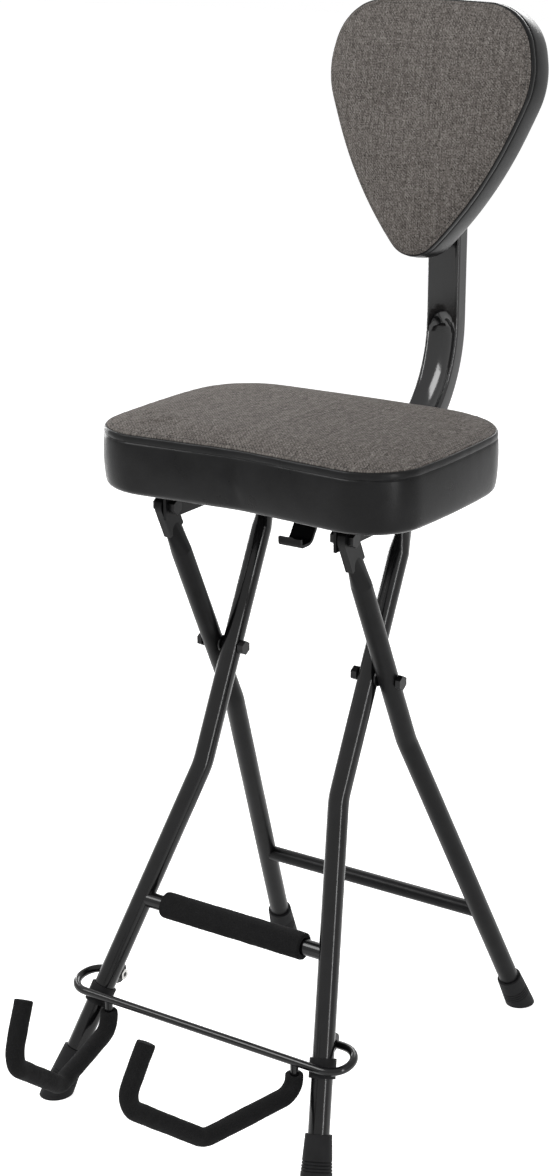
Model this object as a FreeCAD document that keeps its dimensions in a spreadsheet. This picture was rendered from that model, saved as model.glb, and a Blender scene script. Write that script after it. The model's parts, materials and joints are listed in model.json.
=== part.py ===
"""Folding guitar stool: crossed tube legs, padded seat, reclined back pad on a bent post,
and a swing-out cradle for one guitar.

Millimetres.  X runs to the sitter's left-to-right, -Y is the front, +Z is up, floor at Z = 0.
"""
import FreeCAD
import Part
import Sketcher
import math
import os

Vector = FreeCAD.Vector
Rotation = FreeCAD.Rotation
Placement = FreeCAD.Placement
X_AXIS = Vector(1, 0, 0)
Y_AXIS = Vector(0, 1, 0)
Z_AXIS = Vector(0, 0, 1)
LEFT_AND_RIGHT = (("left", -1), ("right", 1))

DRIVING_SIZES = {
    # Crossed leg frames
    "pivot_y": 45.754,
    "pivot_height": 435.7,
    "top_height": 600.0,
    "foot_spread": 425.7,
    "leg_diameter": 21.0,
    "leg_wall": 1.6,
    "leg_bend_radius": 70.0,
    "front_top_half": 80.8,
    "front_foot_half": 155.8,
    "front_bend_drop": 111.0,
    "rear_foot_half": 154.6,
    "rear_bend_drop": 75.0,
    "tab_thickness": 8.0,
    "tab_width": 24.0,
    "tab_reach": 24.0,
    "flatten_length": 34.0,
    "crossbar_diameter": 16.0,
    "crossbar_wall": 1.5,
    "front_crossbar_height": 192.5,
    "rear_crossbar_height": 132.7,
    "crossbar_pad_length": 166.0,
    "crossbar_pad_diameter": 27.0,
    # Rubber feet
    "front_foot_length": 50.0,
    "front_foot_top_diameter": 26.0,
    "front_foot_base_diameter": 32.0,
    "rear_foot_length": 42.0,
    "rear_foot_top_diameter": 26.0,
    "rear_foot_base_diameter": 30.0,
    "foot_sole": 15.0,
    "foot_groove_depth": 0.9,
    "foot_groove_pitch": 3.0,
    # Fasteners and running fits
    "bolt_diameter": 8.0,
    "bolt_clearance": 0.05,
    "hex_width": 13.0,
    "head_height": 5.3,
    "nut_height": 6.5,
    "washer_diameter": 17.0,
    "washer_thickness": 1.6,
    "running_gap": 0.3,
    "screw_diameter": 4.4,
    "screw_head_diameter": 9.0,
    "screw_head_height": 2.8,
    "screw_bite": 8.0,
    "back_screw_bite": 6.0,
    # Seat rails
    "rail_bolt_drop": 16.0,
    "rail_web": 3.0,
    "rail_flange": 34.0,
    "rail_drop": 28.0,
    "rail_front": 11.0,
    "rail_rear": 24.0,
    "slot_width": 12.0,
    "fold_angle": 40.0,
    # Seat cushion
    "seat_width": 352.0,
    "seat_front": 120.0,
    "seat_rear": 134.0,
    "seat_band_height": 60.0,
    "seat_front_radius": 55.0,
    "seat_rear_radius": 70.0,
    "seat_front_dip": 9.0,
    "seat_side_bulge": 4.0,
    "seat_crown": 11.0,
    "seat_crown_run": 55.0,
    "seat_tuck": 7.0,
    "seat_tuck_rise": 5.0,
    "seam_pinch": 2.0,
    "cover_thickness": 2.0,
    "dust_cover": 1.0,
    "seat_board": 12.0,
    # Back post and its socket
    "post_width": 38.0,
    "post_depth": 20.0,
    "post_wall": 2.0,
    "post_corner": 3.5,
    "post_setback": 288.0,
    "post_bend_radius": 129.0,
    "post_top_height": 955.0,
    "post_reach": 114.0,
    "socket_wall": 2.5,
    "socket_length": 120.0,
    "socket_flange": 17.0,
    "socket_clearance": 0.25,
    "cap_thickness": 3.0,
    "cap_plug": 12.0,
    # Back pad
    "back_recline": 9.5,
    "back_centre_drop": 25.0,
    "back_setback": 270.4,
    "back_depth": 42.0,
    "back_crown": 6.0,
    "back_crown_run": 34.0,
    "back_tuck": 5.0,
    "back_tuck_rise": 4.0,
    "back_board": 9.0,
    "back_tip_drop": 147.0,
    "back_tip_radius": 34.0,
    "back_flank_half": 75.5,
    "back_flank_drop": 63.0,
    "back_flank_radius": 400.0,
    "back_wide_half": 121.5,
    "back_wide_rise": 50.0,
    "back_wide_radius": 85.0,
    "back_shoulder_half": 104.5,
    "back_shoulder_rise": 126.5,
    "back_shoulder_radius": 57.0,
    "back_top_rise": 130.0,
    "back_top_radius": 600.0,
    # Bracket between the post and the back pad
    "bracket_sheet": 2.5,
    "bracket_width": 84.0,
    "bracket_overtop": 7.0,
    "bracket_height": 122.0,
    "bracket_cheek_inset": 16.0,
    "bracket_bolt_inset": 19.0,
    "bracket_bolt_spacing": 60.0,
    "bracket_bolt_diameter": 6.0,
    # Release lever under the seat
    "lever_setback": 20.0,
    "lever_drop": 11.0,
    "lever_width": 26.0,
    "lever_sheet": 3.0,
    "lever_arm": 24.0,
    "lever_fall": 20.0,
    "lever_nose": 37.0,
    "lever_lip": 8.0,
    "lever_barrel": 10.0,
    "lever_pin_diameter": 5.0,
    "lever_bracket_sheet": 2.0,
    "lever_bracket_length": 18.0,
    "lock_pin_diameter": 6.0,
    "lock_hole_diameter": 13.0,
    # Guitar cradle
    "lug_height": 119.0,
    "lug_offset": 17.0,
    "lug_thickness": 4.0,
    "lug_radius": 8.5,
    "collar_height": 98.0,
    "collar_length": 19.0,
    "collar_diameter": 26.0,
    "rod_diameter": 8.0,
    "spigot_diameter": 6.0,
    "spigot_thread_diameter": 5.0,
    "cradle_nut_width": 10.0,
    "cradle_nut_height": 5.0,
    "loop_overhang": 33.0,
    "hook_half": 111.0,
    "hook_toe_in": 13.0,
    "hook_drop": 33.0,
    "hook_run": 116.0,
    "hook_reach": 212.0,
    "hook_rise": 42.0,
    "hook_tip_back": 27.0,
    "hook_tip_rise": 50.0,
    "hook_stem_radius": 16.0,
    "hook_elbow_radius": 24.0,
    "sleeve_diameter": 18.0,
    "sleeve_start": 13.0,
    "sleeve_end": 3.0,
}


class Size:
    """A number together with the expression that ties it to the sheet's cells."""

    def __init__(self, value, text):
        self.value = float(value)
        self.text = text

    def __add__(self, other):
        other = as_size(other)
        return Size(self.value + other.value, "(%s + %s)" % (self.text, other.text))

    def __sub__(self, other):
        other = as_size(other)
        return Size(self.value - other.value, "(%s - %s)" % (self.text, other.text))

    def __mul__(self, other):
        other = as_size(other)
        return Size(self.value * other.value, "(%s * %s)" % (self.text, other.text))

    def __truediv__(self, other):
        other = as_size(other)
        return Size(self.value / other.value, "(%s / %s)" % (self.text, other.text))

    def __neg__(self):
        return Size(-self.value, "(0 - %s)" % self.text)

    __radd__ = __add__
    __rmul__ = __mul__

    def __rsub__(self, other):
        return as_size(other) - self

    def __rtruediv__(self, other):
        return as_size(other) / self


def as_size(number):
    return number if isinstance(number, Size) else Size(number, repr(float(number)))


def root(size):
    return Size(math.sqrt(size.value), "sqrt(%s)" % size.text)


def sine(degrees):
    return Size(math.sin(math.radians(degrees.value)), "sin(%s)" % degrees.text)


def cosine(degrees):
    return Size(math.cos(math.radians(degrees.value)), "cos(%s)" % degrees.text)


def arc_tangent(ratio):
    """Angle in plain degrees."""
    return Size(math.degrees(math.atan(ratio.value)), "(atan(%s) / 1 deg)" % ratio.text)


# The document and its sheet of driving sizes
doc = FreeCAD.newDocument("guitar_stool")
sheet = doc.addObject("Spreadsheet::Sheet", "Sizes")
for row, (alias, number) in enumerate(DRIVING_SIZES.items(), start=1):
    sheet.set("A%d" % row, alias)
    sheet.set("B%d" % row, str(number))
    sheet.setAlias("B%d" % row, alias)
doc.recompute()
size = {alias: Size(sheet.get(alias), "Sizes." + alias) for alias in DRIVING_SIZES}

# Places worked out from the driving sizes
pivot_y = size["pivot_y"]
pivot_height = size["pivot_height"]
half_spread = size["foot_spread"] / 2
leg_slope = half_spread / pivot_height
leg_slant = root(pivot_height * pivot_height + half_spread * half_spread) / pivot_height
leg_lean = arc_tangent(leg_slope)
leg_radius = size["leg_diameter"] / 2
gap = size["running_gap"]
bolt_radius = size["bolt_diameter"] / 2
bolt_hole = bolt_radius + size["bolt_clearance"]
rear_top_half = size["front_top_half"] + size["leg_diameter"] + size["washer_thickness"] + gap
hinge_reach = (size["top_height"] - pivot_height) * leg_slope
hinge_y = pivot_y - hinge_reach
slider_y = pivot_y + hinge_reach
rail_outer = rear_top_half - size["tab_thickness"] / 2 - gap - size["washer_thickness"]
rail_inner = rail_outer - size["rail_web"]
seat_base = size["top_height"] + size["rail_bolt_drop"]
rail_flange_bottom = seat_base - size["rail_web"]
socket_inner_half = size["post_width"] / 2 + size["socket_clearance"]
socket_outer_half = socket_inner_half + size["socket_wall"]
socket_ceiling = seat_base - size["socket_wall"]
socket_floor = socket_ceiling - 2 * size["socket_clearance"] - size["post_depth"]
post_centre_z = socket_floor + size["post_depth"] / 2
socket_bottom = socket_floor - size["socket_wall"]
seat_rear_y = pivot_y + size["seat_rear"]
post_front_y = seat_rear_y - size["post_reach"]
post_y = pivot_y + size["post_setback"]
rod_radius = size["rod_diameter"] / 2
back_centre_height = size["post_top_height"] - size["back_centre_drop"]
bracket_top = size["post_top_height"] + size["bracket_overtop"]
bracket_bottom = bracket_top - size["bracket_height"]
bracket_bolt_high = size["post_top_height"] - size["bracket_bolt_inset"]
bracket_bolt_low = bracket_bolt_high - size["bracket_bolt_spacing"]
cheek_outer_half = size["post_width"] / 2 + size["bracket_sheet"]


class LegFrame:
    """One pair of legs, laid out in its own plane: x across, z along the legs from the crossing."""

    def __init__(self, name, tilt, top_half, foot_half, bend_height):
        self.name = name
        self.tilt = tilt
        self.top_half = top_half
        self.foot_half = foot_half
        self.bend_height = bend_height

    def along(self, height):
        return (height - pivot_height) * leg_slant

    def half_at(self, height):
        """Half the width between the legs' centre lines, below the bend."""
        return self.foot_half - (self.foot_half - self.top_half) * height / self.bend_height

    def splay(self):
        return arc_tangent((self.foot_half - self.top_half) / (self.bend_height * leg_slant))

    def lay(self, thing):
        place(thing, y=pivot_y, z=pivot_height, axis=X_AXIS, angle=self.tilt)


front_frame = LegFrame("front", -leg_lean, size["front_top_half"], size["front_foot_half"],
                       pivot_height - size["front_bend_drop"])
rear_frame = LegFrame("rear", leg_lean, rear_top_half, size["rear_foot_half"],
                      pivot_height - size["rear_bend_drop"])


def bind(thing, prop, amount):
    thing.setExpression(prop, as_size(amount).text)


def place(thing, x=0, y=0, z=0, axis=Z_AXIS, angle=0):
    """Move and turn a sub-part, with every amount tied to the sheet."""
    x, y, z, angle = (as_size(amount) for amount in (x, y, z, angle))
    thing.Placement = Placement(Vector(x.value, y.value, z.value), Rotation(axis, angle.value))
    for letter, amount in (("x", x), ("y", y), ("z", z)):
        bind(thing, "Placement.Base." + letter, amount)
    bind(thing, "Placement.Rotation.Angle", angle)


def new_body(name):
    return doc.addObject("PartDesign::Body", name)


def new_sketch(body, name, plane, lift=0, shift=None, turn=None):
    """Sketch on one of the body's own origin planes; lift runs along the plane's normal."""
    sketch = body.newObject("Sketcher::SketchObject", body.Name + "_" + name)
    support = [item for item in body.Origin.OriginFeatures if item.Role == plane][0]
    sketch.AttachmentSupport = [(support, "")]
    sketch.MapMode = "FlatFace"
    across, up = shift if shift else (0, 0)
    for letter, amount in (("x", across), ("y", up), ("z", lift)):
        bind(sketch, "AttachmentOffset.Base." + letter, amount)
    if turn is not None:
        sketch.AttachmentOffset = Placement(Vector(), Rotation(Z_AXIS, turn.value))
        bind(sketch, "AttachmentOffset.Rotation.Angle", turn)
    return sketch


def dimension(sketch, kind, *references, amount):
    amount = as_size(amount)
    index = sketch.addConstraint(Sketcher.Constraint(kind, *references, amount.value))
    sketch.renameConstraint(index, "d%d" % index)
    bind(sketch, "Constraints.d%d" % index, amount)


def fix_point(sketch, geometry, point, x, y):
    dimension(sketch, "DistanceX", -1, 1, geometry, point, amount=x)
    dimension(sketch, "DistanceY", -1, 1, geometry, point, amount=y)


def add_circle(sketch, x, y, radius):
    x, y, radius = (as_size(amount) for amount in (x, y, radius))
    circle = sketch.addGeometry(Part.Circle(Vector(x.value, y.value, 0), Z_AXIS, radius.value))
    dimension(sketch, "Radius", circle, amount=radius)
    fix_point(sketch, circle, 3, x, y)


def add_ellipse(sketch, x, thickness, width):
    """Ellipse with its short axis along the sketch's x."""
    centre = Vector(x.value, 0, 0)
    ends = (Vector(x.value, width.value / 2, 0), Vector(x.value - thickness.value / 2, 0, 0))
    ellipse = sketch.addGeometry(Part.Ellipse(ends[0], ends[1], centre))
    sketch.exposeInternalGeometry(ellipse)
    long_axis, short_axis = ellipse + 1, ellipse + 2
    sketch.addConstraint(Sketcher.Constraint("Vertical", long_axis))
    dimension(sketch, "Distance", long_axis, amount=width)
    dimension(sketch, "Distance", short_axis, amount=thickness)
    fix_point(sketch, ellipse, 3, x, 0)


def corner_tangents(before, corner, after, radius):
    """Start, end and centre of the arc that rounds a corner, and whether it turns left."""
    inward = (before - corner).normalize()
    outward = (after - corner).normalize()
    half_angle = inward.getAngle(outward) / 2
    reach = radius / math.tan(half_angle)
    bisector = (inward + outward).normalize()
    centre = corner + bisector * (radius / math.sin(half_angle))
    turns_left = (corner - before).cross(after - corner).z > 0
    return corner + inward * reach, corner + outward * reach, centre, turns_left


def add_run(sketch, corners, closed):
    """Straight runs through the corners, each (x, y) or (x, y, radius) with a tangent arc."""
    corners = [tuple(as_size(amount) for amount in corner) for corner in corners]
    points = [Vector(corner[0].value, corner[1].value, 0) for corner in corners]
    count = len(corners)
    joints = []
    for index, corner in enumerate(corners):
        rounded = len(corner) == 3 and (closed or 0 < index < count - 1)
        if rounded:
            after = points[(index + 1) % count]
            joints.append(corner_tangents(points[index - 1], points[index], after, corner[2].value))
        else:
            joints.append((points[index], points[index], None, None))
    lines = []
    for index in range(count if closed else count - 1):
        start = joints[index][1]
        end = joints[(index + 1) % count][0]
        lines.append(sketch.addGeometry(Part.LineSegment(start, end)))
    for index, corner in enumerate(corners):
        start, end, centre, turns_left = joints[index]
        line_in = lines[index - 1]
        line_out = lines[index % len(lines)]
        if not closed and index == 0:
            fix_point(sketch, line_out, 1, corner[0], corner[1])
        elif not closed and index == count - 1:
            fix_point(sketch, line_in, 2, corner[0], corner[1])
        elif centre is None:
            sketch.addConstraint(Sketcher.Constraint("Coincident", line_in, 2, line_out, 1))
            fix_point(sketch, line_out, 1, corner[0], corner[1])
        else:
            add_corner_arc(sketch, corner, line_in, line_out, joints[index])


def add_corner_arc(sketch, corner, line_in, line_out, joint):
    start, end, centre, turns_left = joint
    first, last = (start, end) if turns_left else (end, start)
    angles = [math.atan2(point.y - centre.y, point.x - centre.x) for point in (first, last)]
    if angles[1] < angles[0]:
        angles[1] += 2 * math.pi
    circle = Part.Circle(centre, Z_AXIS, corner[2].value)
    arc = sketch.addGeometry(Part.ArcOfCircle(circle, angles[0], angles[1]))
    near, far = (1, 2) if turns_left else (2, 1)
    sketch.addConstraint(Sketcher.Constraint("Tangent", line_in, 2, arc, near))
    sketch.addConstraint(Sketcher.Constraint("Tangent", arc, far, line_out, 1))
    dimension(sketch, "Radius", arc, amount=corner[2])
    point = sketch.addGeometry(Part.Point(Vector(corner[0].value, corner[1].value, 0)), True)
    sketch.addConstraint(Sketcher.Constraint("PointOnObject", point, 1, line_in))
    sketch.addConstraint(Sketcher.Constraint("PointOnObject", point, 1, line_out))
    fix_point(sketch, point, 1, corner[0], corner[1])


def add_rectangle(sketch, left, bottom, right, top):
    add_run(sketch, [(left, bottom), (right, bottom), (right, top), (left, top)], closed=True)


def add_pad(body, sketch, length, symmetric=True, reverse=False):
    feature = body.newObject("PartDesign::Pad", sketch.Name + "_pad")
    feature.Profile = sketch
    feature.SideType = "Symmetric" if symmetric else "One side"
    feature.Reversed = reverse
    bind(feature, "Length", length)
    return feature


def add_pocket(body, sketch, length):
    """Cut the sketch out to half the length on each side of its plane."""
    feature = body.newObject("PartDesign::Pocket", sketch.Name + "_pocket")
    feature.Profile = sketch
    feature.SideType = "Symmetric"
    bind(feature, "Length", length)
    return feature


def add_pipe(body, profile, path, kind="PartDesign::AdditivePipe"):
    feature = body.newObject(kind, path.Name + "_pipe")
    feature.Profile = profile
    feature.Spine = path
    return feature


def add_revolution(body, sketch):
    feature = body.newObject("PartDesign::Revolution", sketch.Name + "_turned")
    feature.Profile = sketch
    feature.ReferenceAxis = (sketch, ["V_Axis"])
    feature.Angle = 360
    return feature


def cylinder(name, radius, length, x, y, z, axis="x"):
    """Round bar from (x, y, z) along +X or +Z."""
    bar = doc.addObject("Part::Cylinder", name)
    bind(bar, "Radius", radius)
    bind(bar, "Height", length)
    if axis == "x":
        place(bar, x, y, z, Y_AXIS, 90)
    else:
        place(bar, x, y, z)
    return bar


def hexagon(name, width, length, x, y, z):
    """Hexagon bar along +X, sized by its width across flats."""
    bar = doc.addObject("Part::Prism", name)
    bar.Polygon = 6
    bind(bar, "Circumradius", width / (2 * cosine(as_size(30))))
    bind(bar, "Height", length)
    place(bar, x, y, z, Y_AXIS, 90)
    return bar


def cut(name, base, tool):
    result = doc.addObject("Part::Cut", name)
    result.Base = base
    result.Tool = tool
    return result


def fuse(name, pieces):
    result = doc.addObject("Part::MultiFuse", name)
    result.Shapes = pieces
    return result


sub_parts = []


def keep(thing, node):
    """Name a finished sub-part; its Label is the name of its file."""
    thing.Label = node
    sub_parts.append(thing)
    return thing


def keep_group(node, pieces):
    group = doc.addObject("Part::Compound", node + "_group")
    group.Links = pieces
    return keep(group, node)


# Legs, crossbars, feet and collars

def leg_path(body, frame, side):
    """Centre line of one leg in the frame's plane, from the flattened top down to the foot."""
    path = new_sketch(body, "path_%d" % (side + 1), "XZ_Plane")
    sole = size["foot_sole"]
    foot_x = frame.foot_half - sole * sine(frame.splay())
    foot_z = frame.along(as_size(0)) + sole * cosine(frame.splay())
    add_run(path, [
        (side * frame.top_half, round_top(frame)),
        (side * frame.top_half, frame.along(frame.bend_height), size["leg_bend_radius"]),
        (side * foot_x, foot_z),
    ], closed=False)
    return path


def round_top(frame):
    """Where the round tube ends and its flattening begins."""
    return frame.along(size["top_height"]) - size["tab_reach"] - size["flatten_length"]


def leg_section(body, frame, side, radii, name):
    section = new_sketch(body, name + "_%d" % (side + 1), "XY_Plane", lift=round_top(frame))
    for radius in radii:
        add_circle(section, side * frame.top_half, 0, radius)
    return section


def trim_to_legs(body, frame):
    """Cope whatever the body holds to the outside of both of the frame's legs."""
    for name, side in LEFT_AND_RIGHT:
        section = leg_section(body, frame, side, [leg_radius], "cope")
        add_pipe(body, section, leg_path(body, frame, side), "PartDesign::SubtractivePipe")


def make_leg(frame, name, side):
    body = new_body("%s_leg_%s" % (frame.name, name))
    tube = leg_section(body, frame, side, [leg_radius, leg_radius - size["leg_wall"]], "tube")
    add_pipe(body, tube, leg_path(body, frame, side))

    x = side * frame.top_half
    top = frame.along(size["top_height"])
    flat_z = top - size["tab_reach"]
    round_end = leg_section(body, frame, side, [leg_radius], "round_end")
    flat_end = new_sketch(body, "flat_end", "XY_Plane", lift=flat_z)
    add_ellipse(flat_end, x, size["tab_thickness"], size["tab_width"])
    shoulder = body.newObject("PartDesign::AdditiveLoft", body.Name + "_shoulder")
    shoulder.Profile = round_end
    shoulder.Sections = [flat_end]
    shoulder.Ruled = True

    half_tab = size["tab_width"] / 2
    tab = new_sketch(body, "tab", "YZ_Plane", lift=x)
    tab_round = half_tab * 0.96
    add_run(tab, [
        (-half_tab, flat_z - size["tab_thickness"]),
        (half_tab, flat_z - size["tab_thickness"]),
        (half_tab, top + half_tab, tab_round),
        (-half_tab, top + half_tab, tab_round),
    ], closed=True)
    add_pad(body, tab, size["tab_thickness"])

    holes = new_sketch(body, "bolt_holes", "YZ_Plane", lift=x)
    add_circle(holes, 0, 0, bolt_hole)
    add_circle(holes, 0, top, bolt_hole)
    add_pocket(body, holes, size["leg_diameter"] * 2)
    frame.lay(body)
    return keep(body, body.Name)


def make_crossbar(frame, height):
    body = new_body("%s_crossbar" % frame.name)
    section = new_sketch(body, "section", "YZ_Plane")
    outer = size["crossbar_diameter"] / 2
    add_circle(section, 0, frame.along(height), outer)
    add_circle(section, 0, frame.along(height), outer - size["crossbar_wall"])
    add_pad(body, section, 2 * frame.half_at(height))
    trim_to_legs(body, frame)
    frame.lay(body)
    return keep(body, body.Name)


def make_crossbar_pad():
    body = new_body("crossbar_pad")
    section = new_sketch(body, "section", "YZ_Plane")
    z = front_frame.along(size["front_crossbar_height"])
    add_circle(section, 0, z, size["crossbar_pad_diameter"] / 2)
    add_circle(section, 0, z, size["crossbar_diameter"] / 2)
    add_pad(body, section, size["crossbar_pad_length"])
    front_frame.lay(body)
    return keep(body, body.Name)


def turned_on_leg(body, frame, side, name):
    """Sketch whose vertical axis is the leg's lower centre line, zero where that meets the floor."""
    return new_sketch(body, name, "XZ_Plane", shift=(side * frame.foot_half, frame.along(as_size(0))),
                      turn=side * frame.splay())


def make_foot(frame, name, side, floor):
    """Flared rubber boot round the leg's end, ringed with grooves and cut flat by the floor."""
    body = new_body("%s_foot_%s_boot" % (frame.name, name))
    profile = turned_on_leg(body, frame, side, "profile")
    length = size[frame.name + "_foot_length"]
    top_radius = size[frame.name + "_foot_top_diameter"] / 2
    base_radius = size[frame.name + "_foot_base_diameter"] / 2
    below_floor = -base_radius

    def radius_at(along):
        return base_radius + (top_radius - base_radius) * along / length

    outline = [(0, below_floor), (base_radius, below_floor), (base_radius, 0)]
    for groove in range(4):
        start = size["foot_sole"] + groove * size["foot_groove_pitch"]
        middle = start + size["foot_groove_pitch"] / 4
        end = start + size["foot_groove_pitch"] / 2
        outline.append((radius_at(start), start))
        outline.append((radius_at(middle) - size["foot_groove_depth"], middle))
        outline.append((radius_at(end), end))
    outline += [(top_radius, length), (leg_radius, length), (leg_radius, size["foot_sole"]),
                (0, size["foot_sole"])]
    add_run(profile, outline, closed=True)
    add_revolution(body, profile)
    frame.lay(body)
    foot = cut("%s_foot_%s" % (frame.name, name), body, floor)
    return keep(foot, foot.Name)


def make_collar(name, side):
    body = new_body("leg_collar_%s" % name)
    profile = turned_on_leg(body, front_frame, side, "profile")
    centre = size["collar_height"] * leg_slant / cosine(front_frame.splay())
    half = size["collar_length"] / 2
    add_rectangle(profile, leg_radius, centre - half, size["collar_diameter"] / 2, centre + half)
    add_revolution(body, profile)
    front_frame.lay(body)
    return keep(body, body.Name)


def make_leg_frames():
    floor = doc.addObject("Part::Box", "under_floor")
    reach = size["foot_spread"] + size["front_foot_half"]
    bind(floor, "Length", 2 * reach)
    bind(floor, "Width", 2 * reach)
    bind(floor, "Height", size["front_foot_length"])
    place(floor, -reach, pivot_y - reach, -size["front_foot_length"])
    for frame in (front_frame, rear_frame):
        for name, side in LEFT_AND_RIGHT:
            make_leg(frame, name, side)
            make_foot(frame, name, side, floor)
    make_crossbar(front_frame, size["front_crossbar_height"])
    make_crossbar(rear_frame, size["rear_crossbar_height"])
    make_crossbar_pad()
    for name, side in LEFT_AND_RIGHT:
        make_collar(name, side)


# Bolts, nuts and washers along X

def span(side, near, far):
    """Start and length of a piece that runs from near to far on one side of the middle."""
    return (near if side > 0 else -far), far - near


def washer(name, side, near, far, y, z):
    start, length = span(side, near, far)
    ring = cylinder(name + "_ring", size["washer_diameter"] / 2, length, start, y, z)
    hole = cylinder(name + "_hole", bolt_hole, length, start, y, z)
    return cut(name, ring, hole)


def hex_nut(name, side, near, far, y, z):
    start, length = span(side, near, far)
    block = hexagon(name + "_hex", size["hex_width"], length, start, y, z)
    hole = cylinder(name + "_hole", bolt_radius, length, start, y, z)
    return cut(name, block, hole)


def hex_bolt(name, side, tail, seat, y, z):
    """Bolt whose shank ends at tail and whose hexagon head seats at seat."""
    inward = 1 if seat.value > tail.value else -1
    near, far = (tail, seat) if inward > 0 else (seat, tail)
    start, length = span(side, near, far)
    shank = cylinder(name + "_shank", bolt_radius, length, start, y, z)
    head_end = seat + inward * size["head_height"]
    near, far = (seat, head_end) if inward > 0 else (head_end, seat)
    start, length = span(side, near, far)
    head = hexagon(name + "_head", size["hex_width"], length, start, y, z)
    return fuse(name, [shank, head])


def make_pivot_fasteners():
    bolts, nuts, washers = [], [], []
    inner = front_frame.top_half - leg_radius
    outer = rear_frame.top_half + leg_radius + gap
    for name, side in LEFT_AND_RIGHT:
        tail = inner - size["nut_height"]
        bolts.append(hex_bolt("pivot_bolt_" + name, side, tail, outer, pivot_y, pivot_height))
        nuts.append(hex_nut("pivot_nut_" + name, side, tail, inner, pivot_y, pivot_height))
        start = front_frame.top_half + leg_radius
        end = start + size["washer_thickness"]
        washers.append(washer("pivot_washer_" + name, side, start, end, pivot_y, pivot_height))
    keep_group("pivot_bolts", bolts)
    keep_group("pivot_nuts", nuts)
    keep_group("pivot_washers", washers)


def make_hinge_fasteners():
    bolts, nuts, washers = [], [], []
    z = size["top_height"]
    for name, side in LEFT_AND_RIGHT:
        tail = rail_inner - size["nut_height"]
        seat = rear_frame.top_half + size["tab_thickness"] / 2 + gap
        bolts.append(hex_bolt("hinge_bolt_" + name, side, tail, seat, hinge_y, z))
        nuts.append(hex_nut("hinge_nut_" + name, side, tail, rail_inner, hinge_y, z))
        far = rail_outer + size["washer_thickness"]
        washers.append(washer("hinge_washer_" + name, side, rail_outer, far, hinge_y, z))
    keep_group("seat_hinge_bolts", bolts)
    keep_group("seat_hinge_nuts", nuts)
    keep_group("seat_hinge_washers", washers)


def make_slider_fasteners():
    bolts, nuts, spacers, rollers = [], [], [], []
    z = size["top_height"]
    tab_inner = front_frame.top_half - size["tab_thickness"] / 2
    tab_outer = front_frame.top_half + size["tab_thickness"] / 2
    roller_near = rail_inner - gap
    roller_far = rail_outer + gap
    nut_near = roller_far + size["washer_thickness"]
    tail = nut_near + size["nut_height"]
    for name, side in LEFT_AND_RIGHT:
        bolts.append(hex_bolt("slider_bolt_" + name, side, tail, tab_inner, slider_y, z))
        nuts.append(hex_nut("slider_nut_" + name, side, nut_near, tail, slider_y, z))
        spacers.append(washer("slider_spacer_" + name, side, tab_outer, roller_near, slider_y, z))
        spacers.append(washer("slider_washer_" + name, side, roller_far, nut_near, slider_y, z))
        start, length = span(side, roller_near, roller_far)
        wheel = cylinder("slider_wheel_" + name, size["slot_width"] / 2 - gap, length, start, slider_y, z)
        hole = cylinder("slider_bore_" + name, bolt_hole, length, start, slider_y, z)
        rollers.append(cut("slider_roller_" + name, wheel, hole))
    keep_group("slider_bolts", bolts)
    keep_group("slider_nuts", nuts)
    keep_group("slider_spacers", spacers)
    keep_group("slider_rollers", rollers)


# Seat rails, post socket and their screws

def rail_screw_places():
    """Centres of the screws that hold both rails to the seat board."""
    x = rail_inner - size["rail_flange"] + size["screw_head_diameter"] * 0.6
    first = hinge_y + size["rail_front"]
    step = (slider_y - first) / 3
    return [(side * x, first + step * index) for _, side in LEFT_AND_RIGHT for index in range(4)]


def socket_screw_places():
    x = socket_outer_half + size["socket_flange"] / 2
    inset = size["screw_head_diameter"]
    front = seat_rear_y - inset - size["socket_length"] + inset
    rear = seat_rear_y - 2 * inset
    return [(side * x, y) for _, side in LEFT_AND_RIGHT for y in (front, rear)]


def make_rail(name, side):
    """Steel angle under the seat: hinge hole at the front, slot for the front legs' rollers behind."""
    body = new_body("seat_rail_%s" % name)
    web = new_sketch(body, "web", "YZ_Plane", lift=side * (rail_inner + size["rail_web"] / 2))
    front = hinge_y - size["rail_front"]
    rear = slider_y + size["rail_rear"]
    bottom = seat_base - size["rail_drop"]
    rear_rise = size["rail_drop"] / 2
    add_run(web, [(front, bottom), (rear - rear_rise, bottom), (rear, bottom + rear_rise),
                  (rear, seat_base), (front, seat_base)], closed=True)
    z = size["top_height"]
    add_circle(web, hinge_y, z, bolt_hole)
    folded = leg_lean - size["fold_angle"] / 2
    pin_reach = 2 * (size["top_height"] - pivot_height) * leg_slant * sine(folded)
    half_slot = size["slot_width"] / 2
    slot_round = half_slot * 0.96
    add_run(web, [
        (hinge_y + pin_reach - half_slot, z - half_slot, slot_round),
        (slider_y + half_slot, z - half_slot, slot_round),
        (slider_y + half_slot, z + half_slot, slot_round),
        (hinge_y + pin_reach - half_slot, z + half_slot, slot_round),
    ], closed=True)
    add_pad(body, web, size["rail_web"])

    flange = new_sketch(body, "flange", "XY_Plane", lift=seat_base)
    edges = (side * (rail_inner - size["rail_flange"]), side * rail_inner)
    left, right = edges if side > 0 else edges[::-1]
    add_rectangle(flange, left, front, right, rear)
    for x, y in rail_screw_places():
        if x.value * side > 0:
            add_circle(flange, x, y, size["screw_diameter"] / 2)
    add_pad(body, flange, size["rail_web"], symmetric=False, reverse=True)
    return keep(body, body.Name)


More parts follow.
